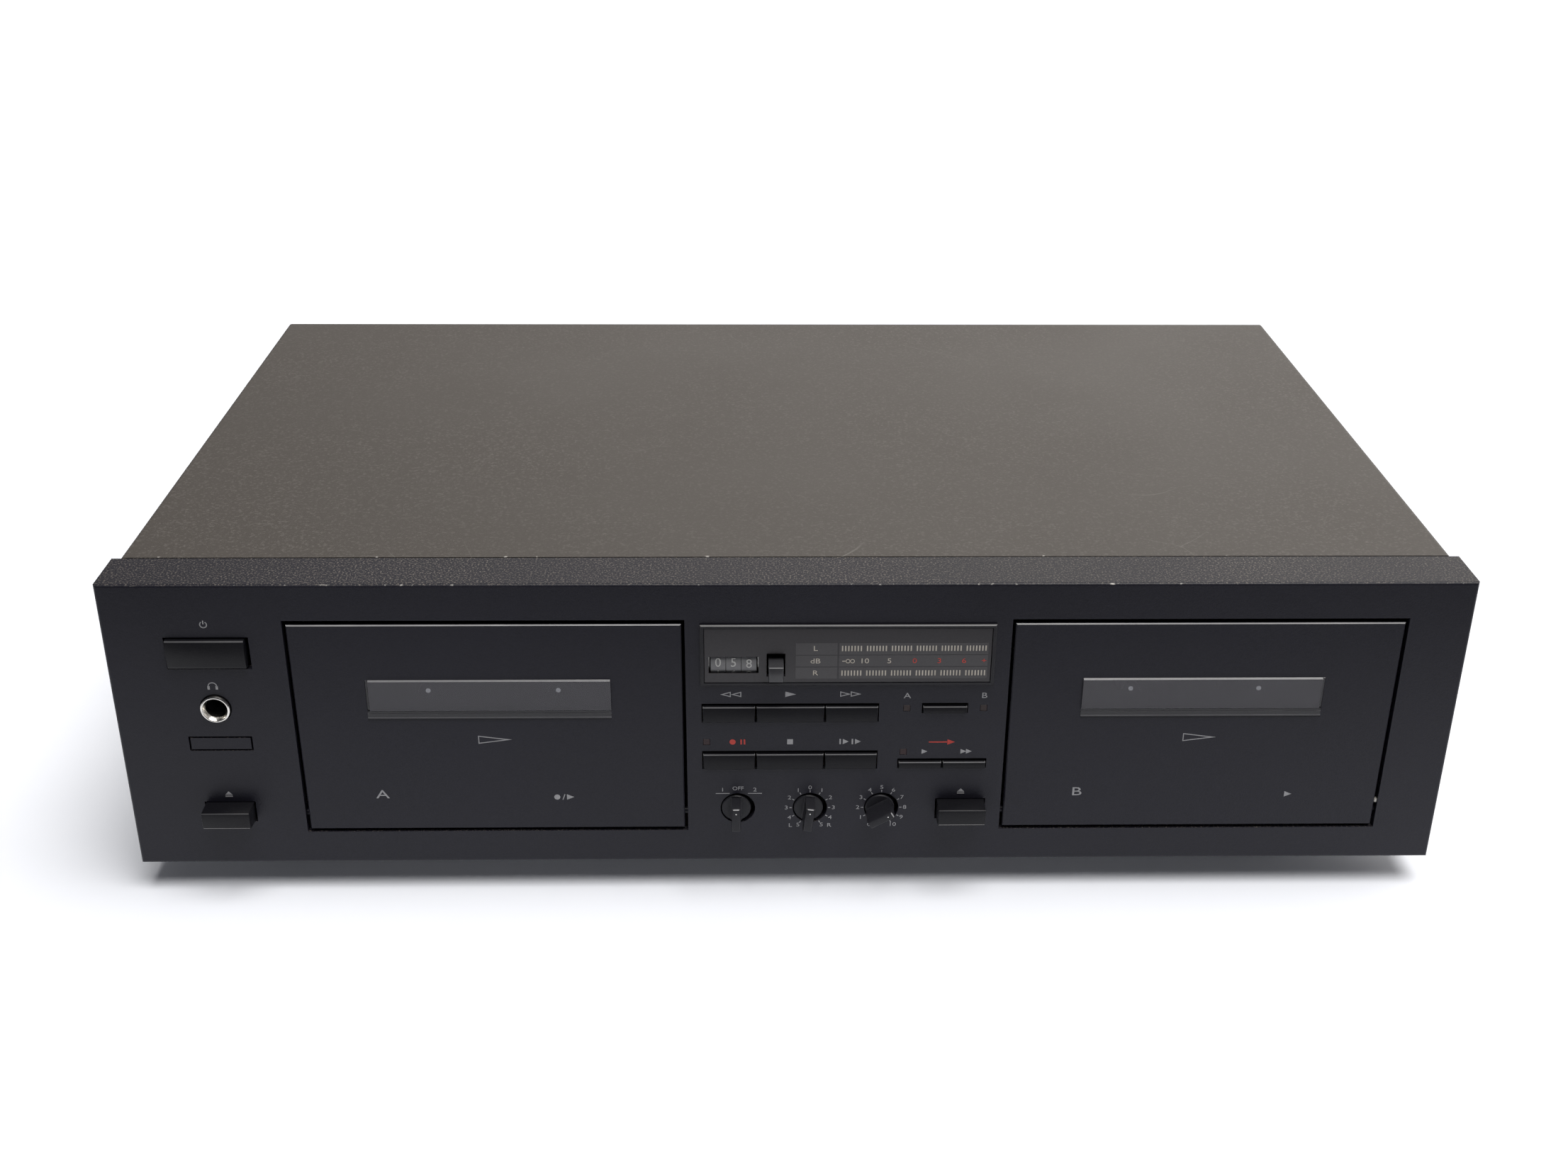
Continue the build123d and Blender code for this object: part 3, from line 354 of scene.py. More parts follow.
for column, socket_x, colour in (("left", 110, socket_red), ("right", 130, socket_white)):
    for row, socket_height in (("lower", 30), ("upper", 50)):
        place = at(socket_x, 0, socket_height)
        place.y = back_high.y
        for part, profile, material in (
            ("sleeve", sleeve_profile, socket_nickel),
            ("insulator", insulator_profile, colour),
        ):
            name = f"line_socket_{part}_{row}_{column}"
            hand_in(turned(profile, place, "rear"), name, material, "case", "socket_nickel", "line_jacks")


# Mains gland: a black nylon bush with a rounded mouth, clamped in the rear panel by a nut inside.
# Turned to one closed profile, with a waist where the sheet lies in it.
gland_plastic = grained("gland_plastic", (0.02, 0.02, 0.02), (0.03, 0.03, 0.03), 1500, 100, 0.35, 0.5, 0.2)
gland_profile = [(3.6, -5.0), (7.5, -5.0), (7.5, -1.0), (5.0, -1.0), (5.0, 0.0), (7.5, 0.0), (7.5, 1.2)]
gland_profile += [(7.2, 1.75), (6.7, 2.0), (4.6, 2.0), (4.0, 1.7), (3.6, 1.1), (3.6, -5.0)]
place = at(-170, 0, 26)
place.y = back_high.y
gland = turned(gland_profile, place, "rear")
hand_in(gland, "mains_gland_bush", gland_plastic, "case", "gland_plastic", "mains_gland")


# Mains transformer: a stack of iron laminations round a taped coil, on the base plate.
# The stack shows its sheets as fine lines, with rust-brown varnish over grey iron.
core_iron = grained("core_iron", (0.16, 0.13, 0.11), (0.09, 0.08, 0.075), 700, 40, 0.5, 0.7, 0.3)
tree = core_iron.node_tree
waves = {"Vector": add_node(tree, "TexCoord")["Object"], "Scale": 300.0, "Distortion": 0.3}
groove = {"Height": add_node(tree, "TexWave", waves, bands_direction="Y")["Fac"], "Strength": 0.5}
groove |= {"Distance": 0.0003, "Normal": tree.nodes["surface"].outputs["Normal"]}
tree.links.new(add_node(tree, "Bump", groove)[0], tree.nodes["Principled BSDF"].inputs["Normal"])
dress(core_iron, "power_transformer")


# Circuit boards with their switches and rotary controls: brown paper laminate that carries the keys' push
# switches, the knobs' controls and, beside them, the mains switch on its bracket.
board_laminate = grained("board_laminate", (0.22, 0.13, 0.05), (0.16, 0.095, 0.035), 500, 60, 0.4, 0.55, 0.2)
switch_plastic = grained(
    "switch_plastic", (0.035, 0.035, 0.037), (0.05, 0.05, 0.05), 1500, 80, 0.4, 0.55, 0.25
)
dress(board_laminate, "circuit_boards")
dress(switch_plastic, "push_switches", "potentiometers", "power_switch")


# Deck mechanisms: two black-painted steel chassis with their motors, brass flywheels, rubber belts and pinch
# rollers, and plated head bridges. They show only through the lenses and behind an open door.
motor_steel = grained(
    "motor_steel", (0.55, 0.55, 0.54), (0.45, 0.45, 0.44), 900, 60, 0.25, 0.4, 0.1, metallic=1.0
)
flywheel_brass = grained(
    "flywheel_brass", (0.72, 0.53, 0.25), (0.6, 0.43, 0.19), 1400, 50, 0.22, 0.38, 0.1, metallic=1.0
)
belt_rubber = grained("belt_rubber", (0.018, 0.018, 0.018), (0.028, 0.027, 0.027), 1400, 120, 0.6, 0.8, 0.3)
holder_plastic = grained(
    "holder_plastic", (0.026, 0.026, 0.028), (0.036, 0.036, 0.038), 1800, 40, 0.42, 0.6, 0.3
)
chassis_paint = grained(
    "chassis_paint", (0.016, 0.016, 0.017), (0.022, 0.022, 0.023), 1600, 40, 0.45, 0.6, 0.2, shine=0.3
)
dress(motor_steel, "drive_motors")
dress(belt_rubber, "drive_belts")
for deck in "ab":
    dress(chassis_paint, f"mechanism_frame_{deck}")
    dress(plated_steel, f"head_bridge_{deck}")
    dress(motor_steel, f"motor_pulley_{deck}")
    dress(flywheel_brass, f"flywheel_{deck}")
    dress(belt_rubber, f"pinch_roller_{deck}")
    dress(holder_plastic, f"cassette_holder_{deck}")


# Front panel: one black moulding, a shallow tray with a rounded front edge and a fine spark-eroded grain.
# Its upper front edge is chipped pale in a few places, and pale specks along its top are a little dust and a
# painted sheen.
def split(tree, vector):
    """A vector's three parts."""
    return add_node(tree, "SeparateXYZ", {0: vector})


def chip_nodes(group, place, given):
    """Small chips along a cross edge at a given depth and height."""
    parts = split(group, place)
    here = add_node(group, "CombineXYZ", {"Y": parts["Y"], "Z": parts["Z"]})[0]
    edge = add_node(group, "CombineXYZ", {"Y": given["Edge Y"], "Z": given["Edge Z"]})[0]
    away = add_node(group, "VectorMath", {0: here, 1: edge}, operation="DISTANCE")["Value"]
    near = ranged(group, away, 0.0, given["Width"], 1.0, 0.0)
    over = maths(group, "SUBTRACT", noise(group, place, given["Chips"], 2.0), given["Rarity"])
    return [maths(group, "MULTIPLY", product(group, over, 30.0), near, use_clamp=True)]


def dust_nodes(group, place, given):
    """Fine pale specks on what faces up, thicker in some patches than in others: dust, and a painted sheen on
    top faces.
    """
    flat = ranged(group, split(group, add_node(group, "NewGeometry")["Normal"])["Z"], 0.5, 0.95)
    specks = ranged(group, noise(group, place, given["Specks"], 2.0), 0.52, 0.72)
    lying = product(group, specks, noise(group, place, given["Patches"], 3.0), flat)
    return [maths(group, "MULTIPLY", lying, given["Amount"], use_clamp=True)]


chip_inputs = {"Edge Y": 0.0, "Edge Z": 0.0, "Width": 0.001, "Rarity": 0.65, "Chips": 300.0}
chipped_edge = node_group("chipped_edge", chip_inputs, chip_nodes)
dust_and_sheen = node_group("dust_and_sheen", {"Amount": 0.3, "Specks": 900.0, "Patches": 12.0}, dust_nodes)


def overlaid(material, group, values, colour):
    """Lays a colour over a material where a mask group says."""
    tree = material.node_tree
    base = tree.nodes["Principled BSDF"].inputs["Base Color"]
    mask = add_node(tree, "Group", values, node_tree=group)["Mask"]
    tree.links.new(mixed(tree, mask, base.links[0].from_socket, (*colour, 1)), base)


panel_black = (0.0098, 0.0096, 0.0152)
panel_grain = (0.0131, 0.0129, 0.02)
panel_plastic = grained("panel_plastic", panel_black, panel_grain, 2200, 14, 0.38, 0.44, 0.25, shine=0.27)
# Pale specks on the panel's top: partly dust, partly a painted sheen on the top face.
overlaid(panel_plastic, dust_and_sheen, {"Amount": 0.9, "Specks": 1600.0}, (0.3, 0.265, 0.23))
chips = {"Edge Y": panel_low.y, "Edge Z": panel_high.z, "Width": 0.55 * mm, "Rarity": 0.665, "Chips": 420.0}
overlaid(panel_plastic, chipped_edge, chips, (0.62, 0.6, 0.56))
dress(panel_plastic, "front_panel", "blanking_plate")


# Power key: a black moulded cap with a gently bulged face and a bevelled upper edge, on a long stem to the
# mains switch. It stands a little proud of the panel, and its sign is printed above it.
def sliced(piece, places, normal):
    """Cuts edge rows right round a piece, without taking anything away."""
    for place in places:
        opened(piece)
        bpy.ops.mesh.bisect(plane_co=place, plane_no=normal)
        closed()


def pushed(piece, move, **planes):
    """Moves the points of a piece that lie on all the planes given."""
    pick(piece, "VERT", on(**planes))
    bpy.ops.transform.translate(value=move)
    closed()


def edge_nodes(group, place, given):
    """A painted highlight where a bevel faces up and forward, unevenly along its length."""
    ahead = maths(group, "LESS_THAN", split(group, place)["Y"], given["Back Y"])
    facing = {"Vector": add_node(group, "NewGeometry")["Normal"]}
    space = {"vector_type": "NORMAL", "convert_from": "WORLD", "convert_to": "OBJECT"}
    way = split(group, add_node(group, "VectorTransform", facing, **space)[0])
    upward, forward = ranged(group, way["Z"], 0.25, 0.6), ranged(group, way["Y"], -0.25, -0.6)
    uneven = ranged(group, noise(group, place, given["Unevenness"], 3.0), 0.3, 0.7, 0.75, 1.0)
    return [product(group, upward, forward, uneven, ahead, given["Amount"])]


# The group paints a highlight on bevels that face up and forward.
painted_bevel_highlight = node_group("painted_bevel_highlight", {"Amount": 0.5, "Unevenness": 60.0, "Back Y": 0.0}, edge_nodes)


def rubbed(material, amount, colour):
    """Paints a highlight on the upper front bevels of a moulding."""
    overlaid(material, painted_bevel_highlight, {"Amount": amount, "Back Y": at(0, 1.0, 0).y}, colour)


key_black = (0.006, 0.006, 0.008)
key_grain = (0.009, 0.009, 0.011)
key_plastic = grained("key_plastic", key_black, key_grain, 2400, 40, 0.3, 0.38, 0.15, shine=0.2)
# The keys' upper front bevels carry a painted highlight.
rubbed(key_plastic, 0.95, (0.26, 0.26, 0.27))
column_x = -185.0
power_front, power_back, power_stem_back = -1.8, 12.0, 44.0
power_low, power_top = 75.1, 85.0
power_middle = (power_low + power_top) / 2
power_bulge_radius = 30.0
bulge_steps = 10
low, high = at(-197.8, power_front, power_low), at(-172.85, power_back, power_top)
power_cap = start_block(low, high)
bulge_rows = [power_low + (power_top - power_low) * step / bulge_steps for step in range(bulge_steps + 1)]
sliced(power_cap, [at(0, 0, row) for row in bulge_rows[1:-1]], (0, 0, 1))
for row in bulge_rows:
    sag = power_bulge_radius - math.sqrt(power_bulge_radius**2 - (row - power_middle) ** 2)
    pushed(power_cap, (0, sag * mm, 0), y=low.y, z=at(0, 0, row).z)
bevelled(power_cap, 0.5, z=high.z, ahead=low.y + mm)
bevelled(power_cap, 0.2, z=low.z, ahead=low.y + mm)
for side in (high.x, low.x):
    bevelled(power_cap, 0.25, x=side, ahead=low.y + mm)
hand_in(power_cap, "power_key_cap", key_plastic, "power_button", "key_plastic", "power_button")
stem_profile = [(2.5, -power_stem_back), (2.5, -power_back), (2.2, -power_back + 0.3)]
power_stem = turned(stem_profile, at(column_x, 0, power_middle), "front", sides=24)
hand_in(power_stem, "power_key_stem", key_plastic, "power_button", "key_plastic", "power_button")


# Headphone socket: a nickel-plated ring with a rounded lip, screwed through the panel on to a black moulded
# body. The bore is dark, with its lower wall catching the light just inside the lip.
ring_profile = [(3.2, -2.4), (4.75, -2.4), (4.75, 0.75), (4.66, 1.02), (4.45, 1.17), (4.25, 1.2)]
ring_profile += [(4.05, 1.12), (3.35, 0.1), (3.2, -0.3), (3.2, -2.4)]
barrel_profile = [(6.8, -30.0), (6.8, -2.5), (3.25, -2.5), (3.25, -24.8)]
jack_place = at(column_x, 0, 59.8)
jack_ring = turned(ring_profile, jack_place, "front", sides=64)
hand_in(jack_ring, "headphone_socket_ring", socket_nickel, "case", "socket_nickel", "headphone_jack")
jack_barrel = turned(barrel_profile, jack_place, "front")
hand_in(jack_barrel, "headphone_socket_body", socket_black, "case", "socket_nickel", "headphone_jack")


# Printed signs of the left column: screen-printed pale ink, a few hundredths of a millimetre thick.
# A power sign over the key and a headphone sign over the socket.
ink = 0.03


def lay_ink(x, height, turn=0.0, depth=0.0):
    """Thickens the active flat shape to ink and lays it on the front, turned clockwise by degrees."""
    opened(bpy.context.active_object)
    bpy.ops.mesh.extrude_region_move(TRANSFORM_OT_translate={"value": (0, 0, ink * mm)})
    bpy.ops.mesh.select_all(action="SELECT")
    bpy.ops.mesh.normals_make_consistent(inside=False)
    shape = closed()
    shape.rotation_euler = (math.pi / 2, math.radians(turn), 0)
    shape.location = at(x, depth, height)
    return settled(shape)


def flat_plate(width, tall):
    """A flat rectangle round the origin, as the start of a print."""
    bpy.ops.mesh.primitive_plane_add(size=1)
    bpy.context.active_object.scale = (width * mm, tall * mm, 1)
    return settled(bpy.context.active_object)


def ink_bar(x, height, width, tall, turn=0.0, depth=0.0):
    """A printed bar round its middle."""
    flat_plate(width, tall)
    return lay_ink(x, height, turn, depth)


def round_place(x, height, radius, angle):
    """A place on a ring, so many degrees clockwise from its top, as x and height."""
    return x + radius * math.sin(math.radians(angle)), height + radius * math.cos(math.radians(angle))


def ink_ring(x, height, radius, line, first=0, last=360, steps=24, depth=0.0):
    """A printed ring or arc of short bars, from one angle to another, clockwise from the top."""
    overlap = 1.15
    step = (last - first) / steps
    length = 2 * radius * math.tan(math.radians(abs(step)) / 2) * overlap
    angles = [first + step * (index + 0.5) for index in range(steps)]
    return [ink_bar(*round_place(x, height, radius, angle), length, line, angle, depth) for angle in angles]


def ink_disc(x, height, radius):
    """A printed dot."""
    bpy.ops.mesh.primitive_circle_add(vertices=24, radius=radius * mm, fill_type="NGON")
    return lay_ink(x, height)


def ink_arrow(x, height, width, tall, turn=0.0, line=None):
    """A printed triangle that points right before it is turned, solid or as an outline."""
    pick(flat_plate(width, tall), "VERT", lambda co: co.x > 0)
    bpy.ops.mesh.merge(type="CENTER")
    if line:
        bpy.ops.mesh.select_mode(type="FACE")
        bpy.ops.mesh.select_all(action="SELECT")
        bpy.ops.mesh.inset(thickness=line * mm)
        bpy.ops.mesh.delete(type="FACE")
    closed()
    return lay_ink(x, height, turn)


def ink_words(words, x, height, cap, stretch=1.25, align="CENTER", depth=0.0):
    """Printed figures or letters of so many millimetres' height, in wide plain type."""
    cap_share = 0.7
    bpy.ops.object.text_add()
    text = bpy.context.active_object
    text.data.body = words
    text.data.align_x = align
    text.data.align_y = "CENTER"
    text.data.resolution_u = 3
    text.data.size = cap / cap_share * mm
    bpy.ops.object.convert(target="MESH")
    text = bpy.context.active_object
    text.scale = (stretch, 1, 1)
    opened(settled(text))
    bpy.ops.mesh.remove_doubles(threshold=weld)
    closed()
    return lay_ink(x, height, depth=depth)


def hand_in_print(shapes, name, material, body="case", slot="panel_plastic"):
    """Joins printed shapes into one piece that rides on a body."""
    only(shapes[0])
    for shape in shapes[1:]:
        shape.select_set(True)
    if len(shapes) > 1:
        bpy.ops.object.join()
    hand_in(bpy.context.active_object, name, material, body, slot)


pale_ink = grained("pale_ink", (0.33, 0.33, 0.34), (0.26, 0.26, 0.27), 1800, 200, 0.5, 0.65, 0.15)
red_ink = grained("red_ink", (0.5, 0.045, 0.03), (0.42, 0.035, 0.025), 1800, 200, 0.5, 0.65, 0.15)
sign_height, phones_height = 90.3, 68.0
sign_line = 0.36
power_sign = ink_ring(column_x, sign_height - 0.15, 1.05, sign_line, 35, 325)
power_sign.append(ink_bar(column_x, sign_height + 0.65, sign_line, 1.3))
hand_in_print(power_sign, "power_sign", pale_ink)
phones_sign = ink_ring(column_x, phones_height - 0.1, 1.35, 0.34, -90, 90, steps=14)
for side in (-1, 1):
    phones_sign.append(ink_bar(column_x + side * 1.3, phones_height - 0.6, 0.75, 1.3))
hand_in_print(phones_sign, "headphone_sign", pale_ink)


# Cassette doors: flush black mouldings with a bevelled edge that carries a painted highlight where it faces
# up and forward, hinged at their lower corners.
# Each has its tape arrow, its letter and its function sign printed on it in the panel's ink,
# and the white end of a nylon hinge bush shows in the gap beside the right one.
door_plastic = grained("door_plastic", panel_black, panel_grain, 2000, 12, 0.36, 0.42, 0.22, shine=0.25)
# The doors' upper front bevels carry a painted highlight.
rubbed(door_plastic, 0.95, (0.46, 0.46, 0.47))
dress(door_plastic, "door_a", "door_b")
function_row = 25.5
for deck, arrow_x, letter_x, sign_x in (("a", -96.15, -136.7, -74.8), ("b", 134.4, 93.7, 164.3)):
    marks = [ink_arrow(arrow_x, 47.7, 10.9, 3.0, line=0.3)]
    marks.append(ink_words(deck.upper(), letter_x, 26.7, 3.2, stretch=1.45, align="LEFT"))
    marks.append(ink_arrow(sign_x + 2.2, function_row, 2.4, 2.1))
    if deck == "a":
        marks.append(ink_disc(sign_x - 2.2, function_row, 1.0))
        marks.append(ink_bar(sign_x, function_row, 0.3, 2.3, turn=20))
    hand_in_print(marks, f"door_print_{deck}", pale_ink, f"door_{deck}", "door_plastic")
bush_low = at(196.25, 0.5, 21.7)
bush = start_block(bush_low, at(197.2, 2.0, 22.9))
bevelled(bush, 0.25, y=bush_low.y)
hand_in(bush, "hinge_bush", socket_white, "case", "socket_nickel")


# Door lenses: panes of smoked polycarbonate that stand a little out of the door's face, with a pale strip
# on the upper edge as a painted highlight. Along the foot and the outer end they sit on a dark moulded ledge
# of stepped ribs, whose upward faces carry a painted highlight.
lens_shader = {"IOR": 1.6, "Specular Tint": (0.96, 0.94, 1.0, 1.0), "Transmission Weight": 0.95}
lens_plastic = grained(
    "lens_plastic", (0.05, 0.05, 0.053), (0.058, 0.058, 0.061), 900, 18, 0.015, 0.035, 0.0, more=lens_shader
)
lens_edge_highlight = grained("lens_edge_highlight", (0.155, 0.155, 0.165), (0.185, 0.185, 0.195), 900, 60, 0.25, 0.35, 0.0)
ledge_plastic = grained(
    "ledge_plastic", (0.013, 0.013, 0.016), (0.017, 0.017, 0.02), 1500, 30, 0.12, 0.2, 0.0, shine=0.42
)
# The ribs' upward faces carry a painted highlight.
rubbed(ledge_plastic, 0.9, (0.13, 0.13, 0.14))
deck_middles = {"a": -97.2, "b": 133.8}
ledge_low, ledge_top, lens_top = 55.5, 58.9, 70.0
ledge_rows = {58.85: 0.55, 58.55: 0.55, 58.4: 0.45, 57.75: 0.45}
ledge_rows |= {57.5: 0.25, 56.35: 0.25, 56.1: 0.05, 55.7: 0.05}
lens_front, ledge_front, end_front, lens_back = -0.55, -0.35, -0.05, 2.5
lens_bevel = 0.5
edge_lift = 0.04
end_width = 0.9


def rotated(shape, axis, angle, centre):
    """Turns a shape by degrees about an axis through a place. About X, they turn its top to the back."""
    opened(shape)
    bpy.ops.transform.rotate(value=math.radians(angle), orient_axis=axis, center_override=centre)
    return closed()


for deck, deck_x in deck_middles.items():
    node, body = f"door_lens_{deck}", f"door_{deck}"
    low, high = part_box(node)
    half = (high.x - low.x) / 2 / mm
    outer = math.copysign(1, deck_x)
    seam_x = deck_x + outer * (half - end_width)
    end_x = deck_x + outer * half
    inner_x = deck_x - outer * half
    ledge = start_block(at(deck_x - half, ledge_front, ledge_low), at(deck_x + half, lens_back, ledge_top))
    sliced(ledge, [at(0, 0, row) for row in ledge_rows], (0, 0, 1))
    for row, sunk in ledge_rows.items():
        spot = at(0, ledge_front, row)
        pushed(ledge, (0, sunk * mm, 0), y=spot.y, z=spot.z)
    hand_in(ledge, f"lens_ledge_{deck}", ledge_plastic, body, "lens_plastic", node)
    low = at(min(seam_x, end_x), end_front, ledge_top)
    end = start_block(low, at(max(seam_x, end_x), lens_back, lens_top))
    bevelled(end, 0.15, 1, y=low.y)
    hand_in(end, f"lens_end_{deck}", ledge_plastic, body, "lens_plastic", node)
    low = at(min(seam_x, inner_x), lens_front, ledge_top)
    high = at(max(seam_x, inner_x), lens_back, lens_top)
    lens = start_block(low, high)
    bevelled(lens, lens_bevel, 1, y=low.y, z=high.z)
    hand_in(lens, f"smoked_lens_{deck}", lens_plastic, body, "lens_plastic", node)
    # A pale strip laid on the lens's upper bevel: a painted highlight.
    edge_x = (seam_x + inner_x) / 2
    edge_depth = lens_front + lens_bevel / 2 - edge_lift
    edge_height = lens_top - lens_bevel / 2 + edge_lift
    edge = ink_bar(edge_x, edge_height, 2 * half - end_width - 0.2, lens_bevel * 1.4, depth=edge_depth)
    rotated(edge, "X", 45, at(edge_x, edge_depth, edge_height))
    hand_in(edge, f"lens_edge_{deck}", lens_edge_highlight, body, "lens_plastic")


# Reel drive tips: the small pale caps on the ends of the dark spindles, which show through the lenses.
# Turned domes, pressed on to the spindles, that glow as a painted glint though they are no lamp.
reel_dark = grained("reel_dark", (0.03, 0.03, 0.031), (0.045, 0.045, 0.045), 1500, 100, 0.4, 0.55, 0.2)
dress(reel_dark, "supply_reel_a", "supply_reel_b", "take_up_reel_a", "take_up_reel_b")
# The tips' glow is a painted glint.
painted_glint_glow = {"Emission Color": (0.95, 0.97, 1.0, 1), "Emission Strength": 3.0}
tip_white_glint = grained(
    "tip_white_glint", (0.8, 0.8, 0.79), (0.72, 0.72, 0.71), 1500, 200, 0.3, 0.4, 0.05, more=painted_glint_glow
)
tip_profile = [(0.8, -0.3), (0.8, 0.15), (0.7, 0.35), (0.45, 0.5), (0.15, 0.55)]
tip_depth, tip_height = 11.5, 60.4
hub_half_distance = 21.25
for deck, deck_x in deck_middles.items():
    for reel, side in (("supply", -1), ("take_up", 1)):
        place = at(deck_x + side * hub_half_distance, tip_depth, tip_height)
        tip = turned(tip_profile, place, "front", sides=32)
        hand_in(tip, f"spindle_tip_{reel}_{deck}", tip_white_glint, f"{reel}_reel_{deck}", "reel_plastic")


# Eject keys: black mouldings that stand out of the panel like small shelves, sloped underneath,
# with softly bevelled front edges. The eject sign is printed on the panel above each.
eject_half_width = 7.85
eject_front, eject_back = -7.0, 7.7
eject_base, eject_lip, eject_top = 16.9, 18.1, 24.0
lip_inset = 0.3
for deck, eject_x in (("a", column_x), ("b", 56.9)):
    low = at(eject_x - eject_half_width, eject_front, eject_base)
    high = at(eject_x + eject_half_width, eject_back, eject_top)
    body = f"eject_button_{deck}"
    eject = start_block(low, high)
    sliced(eject, [at(0, 0, 0)], (0, 1, 0))
    pushed(eject, (0, 0, (eject_lip - eject_base) * mm), y=low.y, z=low.z)
    bevelled(eject, 0.5, y=low.y, z=high.z)
    bevelled(eject, 0.45, y=low.y, z=at(0, 0, eject_lip).z)
    for side in (low.x, high.x):
        bevelled(eject, 0.3, x=side, ahead=at(0, 0.1, 0).y)
    hand_in(eject, f"eject_key_{deck}", key_plastic, body, "key_plastic", body)
    low = at(eject_x - eject_half_width + lip_inset, eject_front - 0.12, eject_lip + 0.1)
    high = at(eject_x + eject_half_width - lip_inset, eject_front + 0.4, eject_lip + 0.4)
    lip = start_block(low, high)
    bevelled(lip, 0.1, 1, y=low.y, z=high.z)
    hand_in(lip, f"eject_lip_{deck}", key_plastic, body, "key_plastic")
    eject_sign = [ink_arrow(eject_x, 27.6, 1.3, 2.4, turn=-90), ink_bar(eject_x, 26.4, 2.4, 0.45)]
    hand_in_print(eject_sign, f"eject_sign_{deck}", pale_ink)


# Display window: a grey acrylic plate in a narrow black rim with a painted highlight on its upper edge,
# clipped into the panel.
# The plate lies a little below the rim and has openings for the tape counter and its reset key.
rim_plastic = grained(
    "rim_plastic", (0.011, 0.011, 0.014), (0.015, 0.015, 0.018), 2200, 30, 0.32, 0.4, 0.15, shine=0.3
)
# The rim's upper front edge carries a painted highlight.
rubbed(rim_plastic, 0.95, (0.18, 0.18, 0.185))
window_plastic = grained(
    "window_plastic", (0.029, 0.027, 0.03), (0.033, 0.031, 0.034), 1400, 14, 0.18, 0.24, 0.0, shine=0.38
)
window_left, window_right = -29.0, 65.4
window_low, window_high = 67.8, 89.9
window_front, plate_front, window_back = -1.0, -0.7, 1.2
through = 5


def window_block(inset, front, back):
    """A block as large as the window, but for an inset all round, and its two corners."""
    low = at(window_left + inset, front, window_low + inset)
    high = at(window_right - inset, back, window_high - inset)
    return start_block(low, high), low, high


rim_width = 1.15
rim, low, high = window_block(0, window_front, 0)
bevelled(rim, 0.38, 1, y=low.y)
cut(rim, window_block(rim_width, -through, through)[0])
hand_in(rim, "window_rim", rim_plastic, "case", "window_plastic", "display_window")
plate, low, high = window_block(rim_width + 0.12, plate_front, 0)
pick(plate, "FACE", on(y=high.y))
bpy.ops.mesh.inset(thickness=0.6 * mm)
bpy.ops.mesh.extrude_region_move(TRANSFORM_OT_translate={"value": (0, window_back * mm, 0)})
closed()
bevelled(plate, 0.12, 1, y=low.y)
counter_x, counter_height = -18.35, 75.5
counter_left, counter_right = counter_x - 8.0, counter_x + 8.0
pocket_front, pocket_low, pocket_high = -0.3, counter_height - 5.2, counter_height + 5.2
reset_x, reset_low, reset_high = -4.8, 71.9, 77.3
for left, right, front, base, roof in (
    (counter_left, counter_right, -through, counter_height - 3.0, counter_height + 3.0),
    (reset_x - 3.0, reset_x + 3.0, -through, reset_low - 0.6, reset_high + 2.3),
    (counter_left, counter_right, pocket_front, pocket_low, pocket_high),
):
    cut(plate, start_block(at(left, front, base), at(right, through, roof)))
hand_in(plate, "window_plate", window_plastic, "case", "window_plastic", "display_window")


# Tape counter: three grey number wheels on a fixed axle between steel sides, just behind the window's face.
# Each wheel is a turned drum with the ten figures printed round it; a small square key sets it to zero.
dress(plated_steel, "counter_frame")
wheel_plastic = grained("wheel_plastic", (0.14, 0.14, 0.145), (0.16, 0.16, 0.165), 1500, 120, 0.35, 0.5, 0.1)
figure_ink = grained("figure_ink", (0.46, 0.46, 0.45), (0.4, 0.4, 0.39), 1800, 200, 0.5, 0.6, 0.1)
wheel_depth, wheel_radius, wheel_pitch = 6.55, 7.0, 4.95
drum_profile = [(1.2, -2.42), (6.9, -2.42), (7.0, -2.32), (7.0, 2.32), (6.9, 2.42), (1.2, 2.42), (1.2, -2.42)]
figure_face = wheel_depth - wheel_radius
figure_cap = 3.1
figure_step = 36
seen_angle = -5.5
for wheel, step, shown in (("hundreds", -1, 0.0), ("tens", 0, 5.0), ("units", 1, 7.9)):
    wheel_x = counter_x + step * wheel_pitch
    axle = at(wheel_x, wheel_depth, counter_height)
    body = f"counter_{wheel}_wheel"
    hand_in(turned(drum_profile, axle, "right"), f"{wheel}_drum", wheel_plastic, body, "wheel_plastic", body)
    figures = []
    for figure in range(10):
        shape = ink_words(str(figure), wheel_x, counter_height, figure_cap, stretch=0.95, depth=figure_face)
        figures.append(rotated(shape, "X", (shown - figure) * figure_step - seen_angle, axle))
    hand_in_print(figures, f"{wheel}_figures", figure_ink, body, "wheel_plastic")
reset_plastic = grained("reset_plastic", (0.03, 0.03, 0.034), (0.036, 0.036, 0.04), 2400, 40, 0.22, 0.3, 0.1)
# The key's upper front bevel carries a painted highlight.
rubbed(reset_plastic, 0.9, (0.42, 0.42, 0.43))
low = at(reset_x - 2.4, -6.0, reset_low)
reset = start_block(low, at(reset_x + 2.4, 12.05, reset_high))
bevelled(reset, 0.4, y=low.y)
hand_in(reset, "reset_key", reset_plastic, "counter_reset_button", "key_plastic", "counter_reset_button")


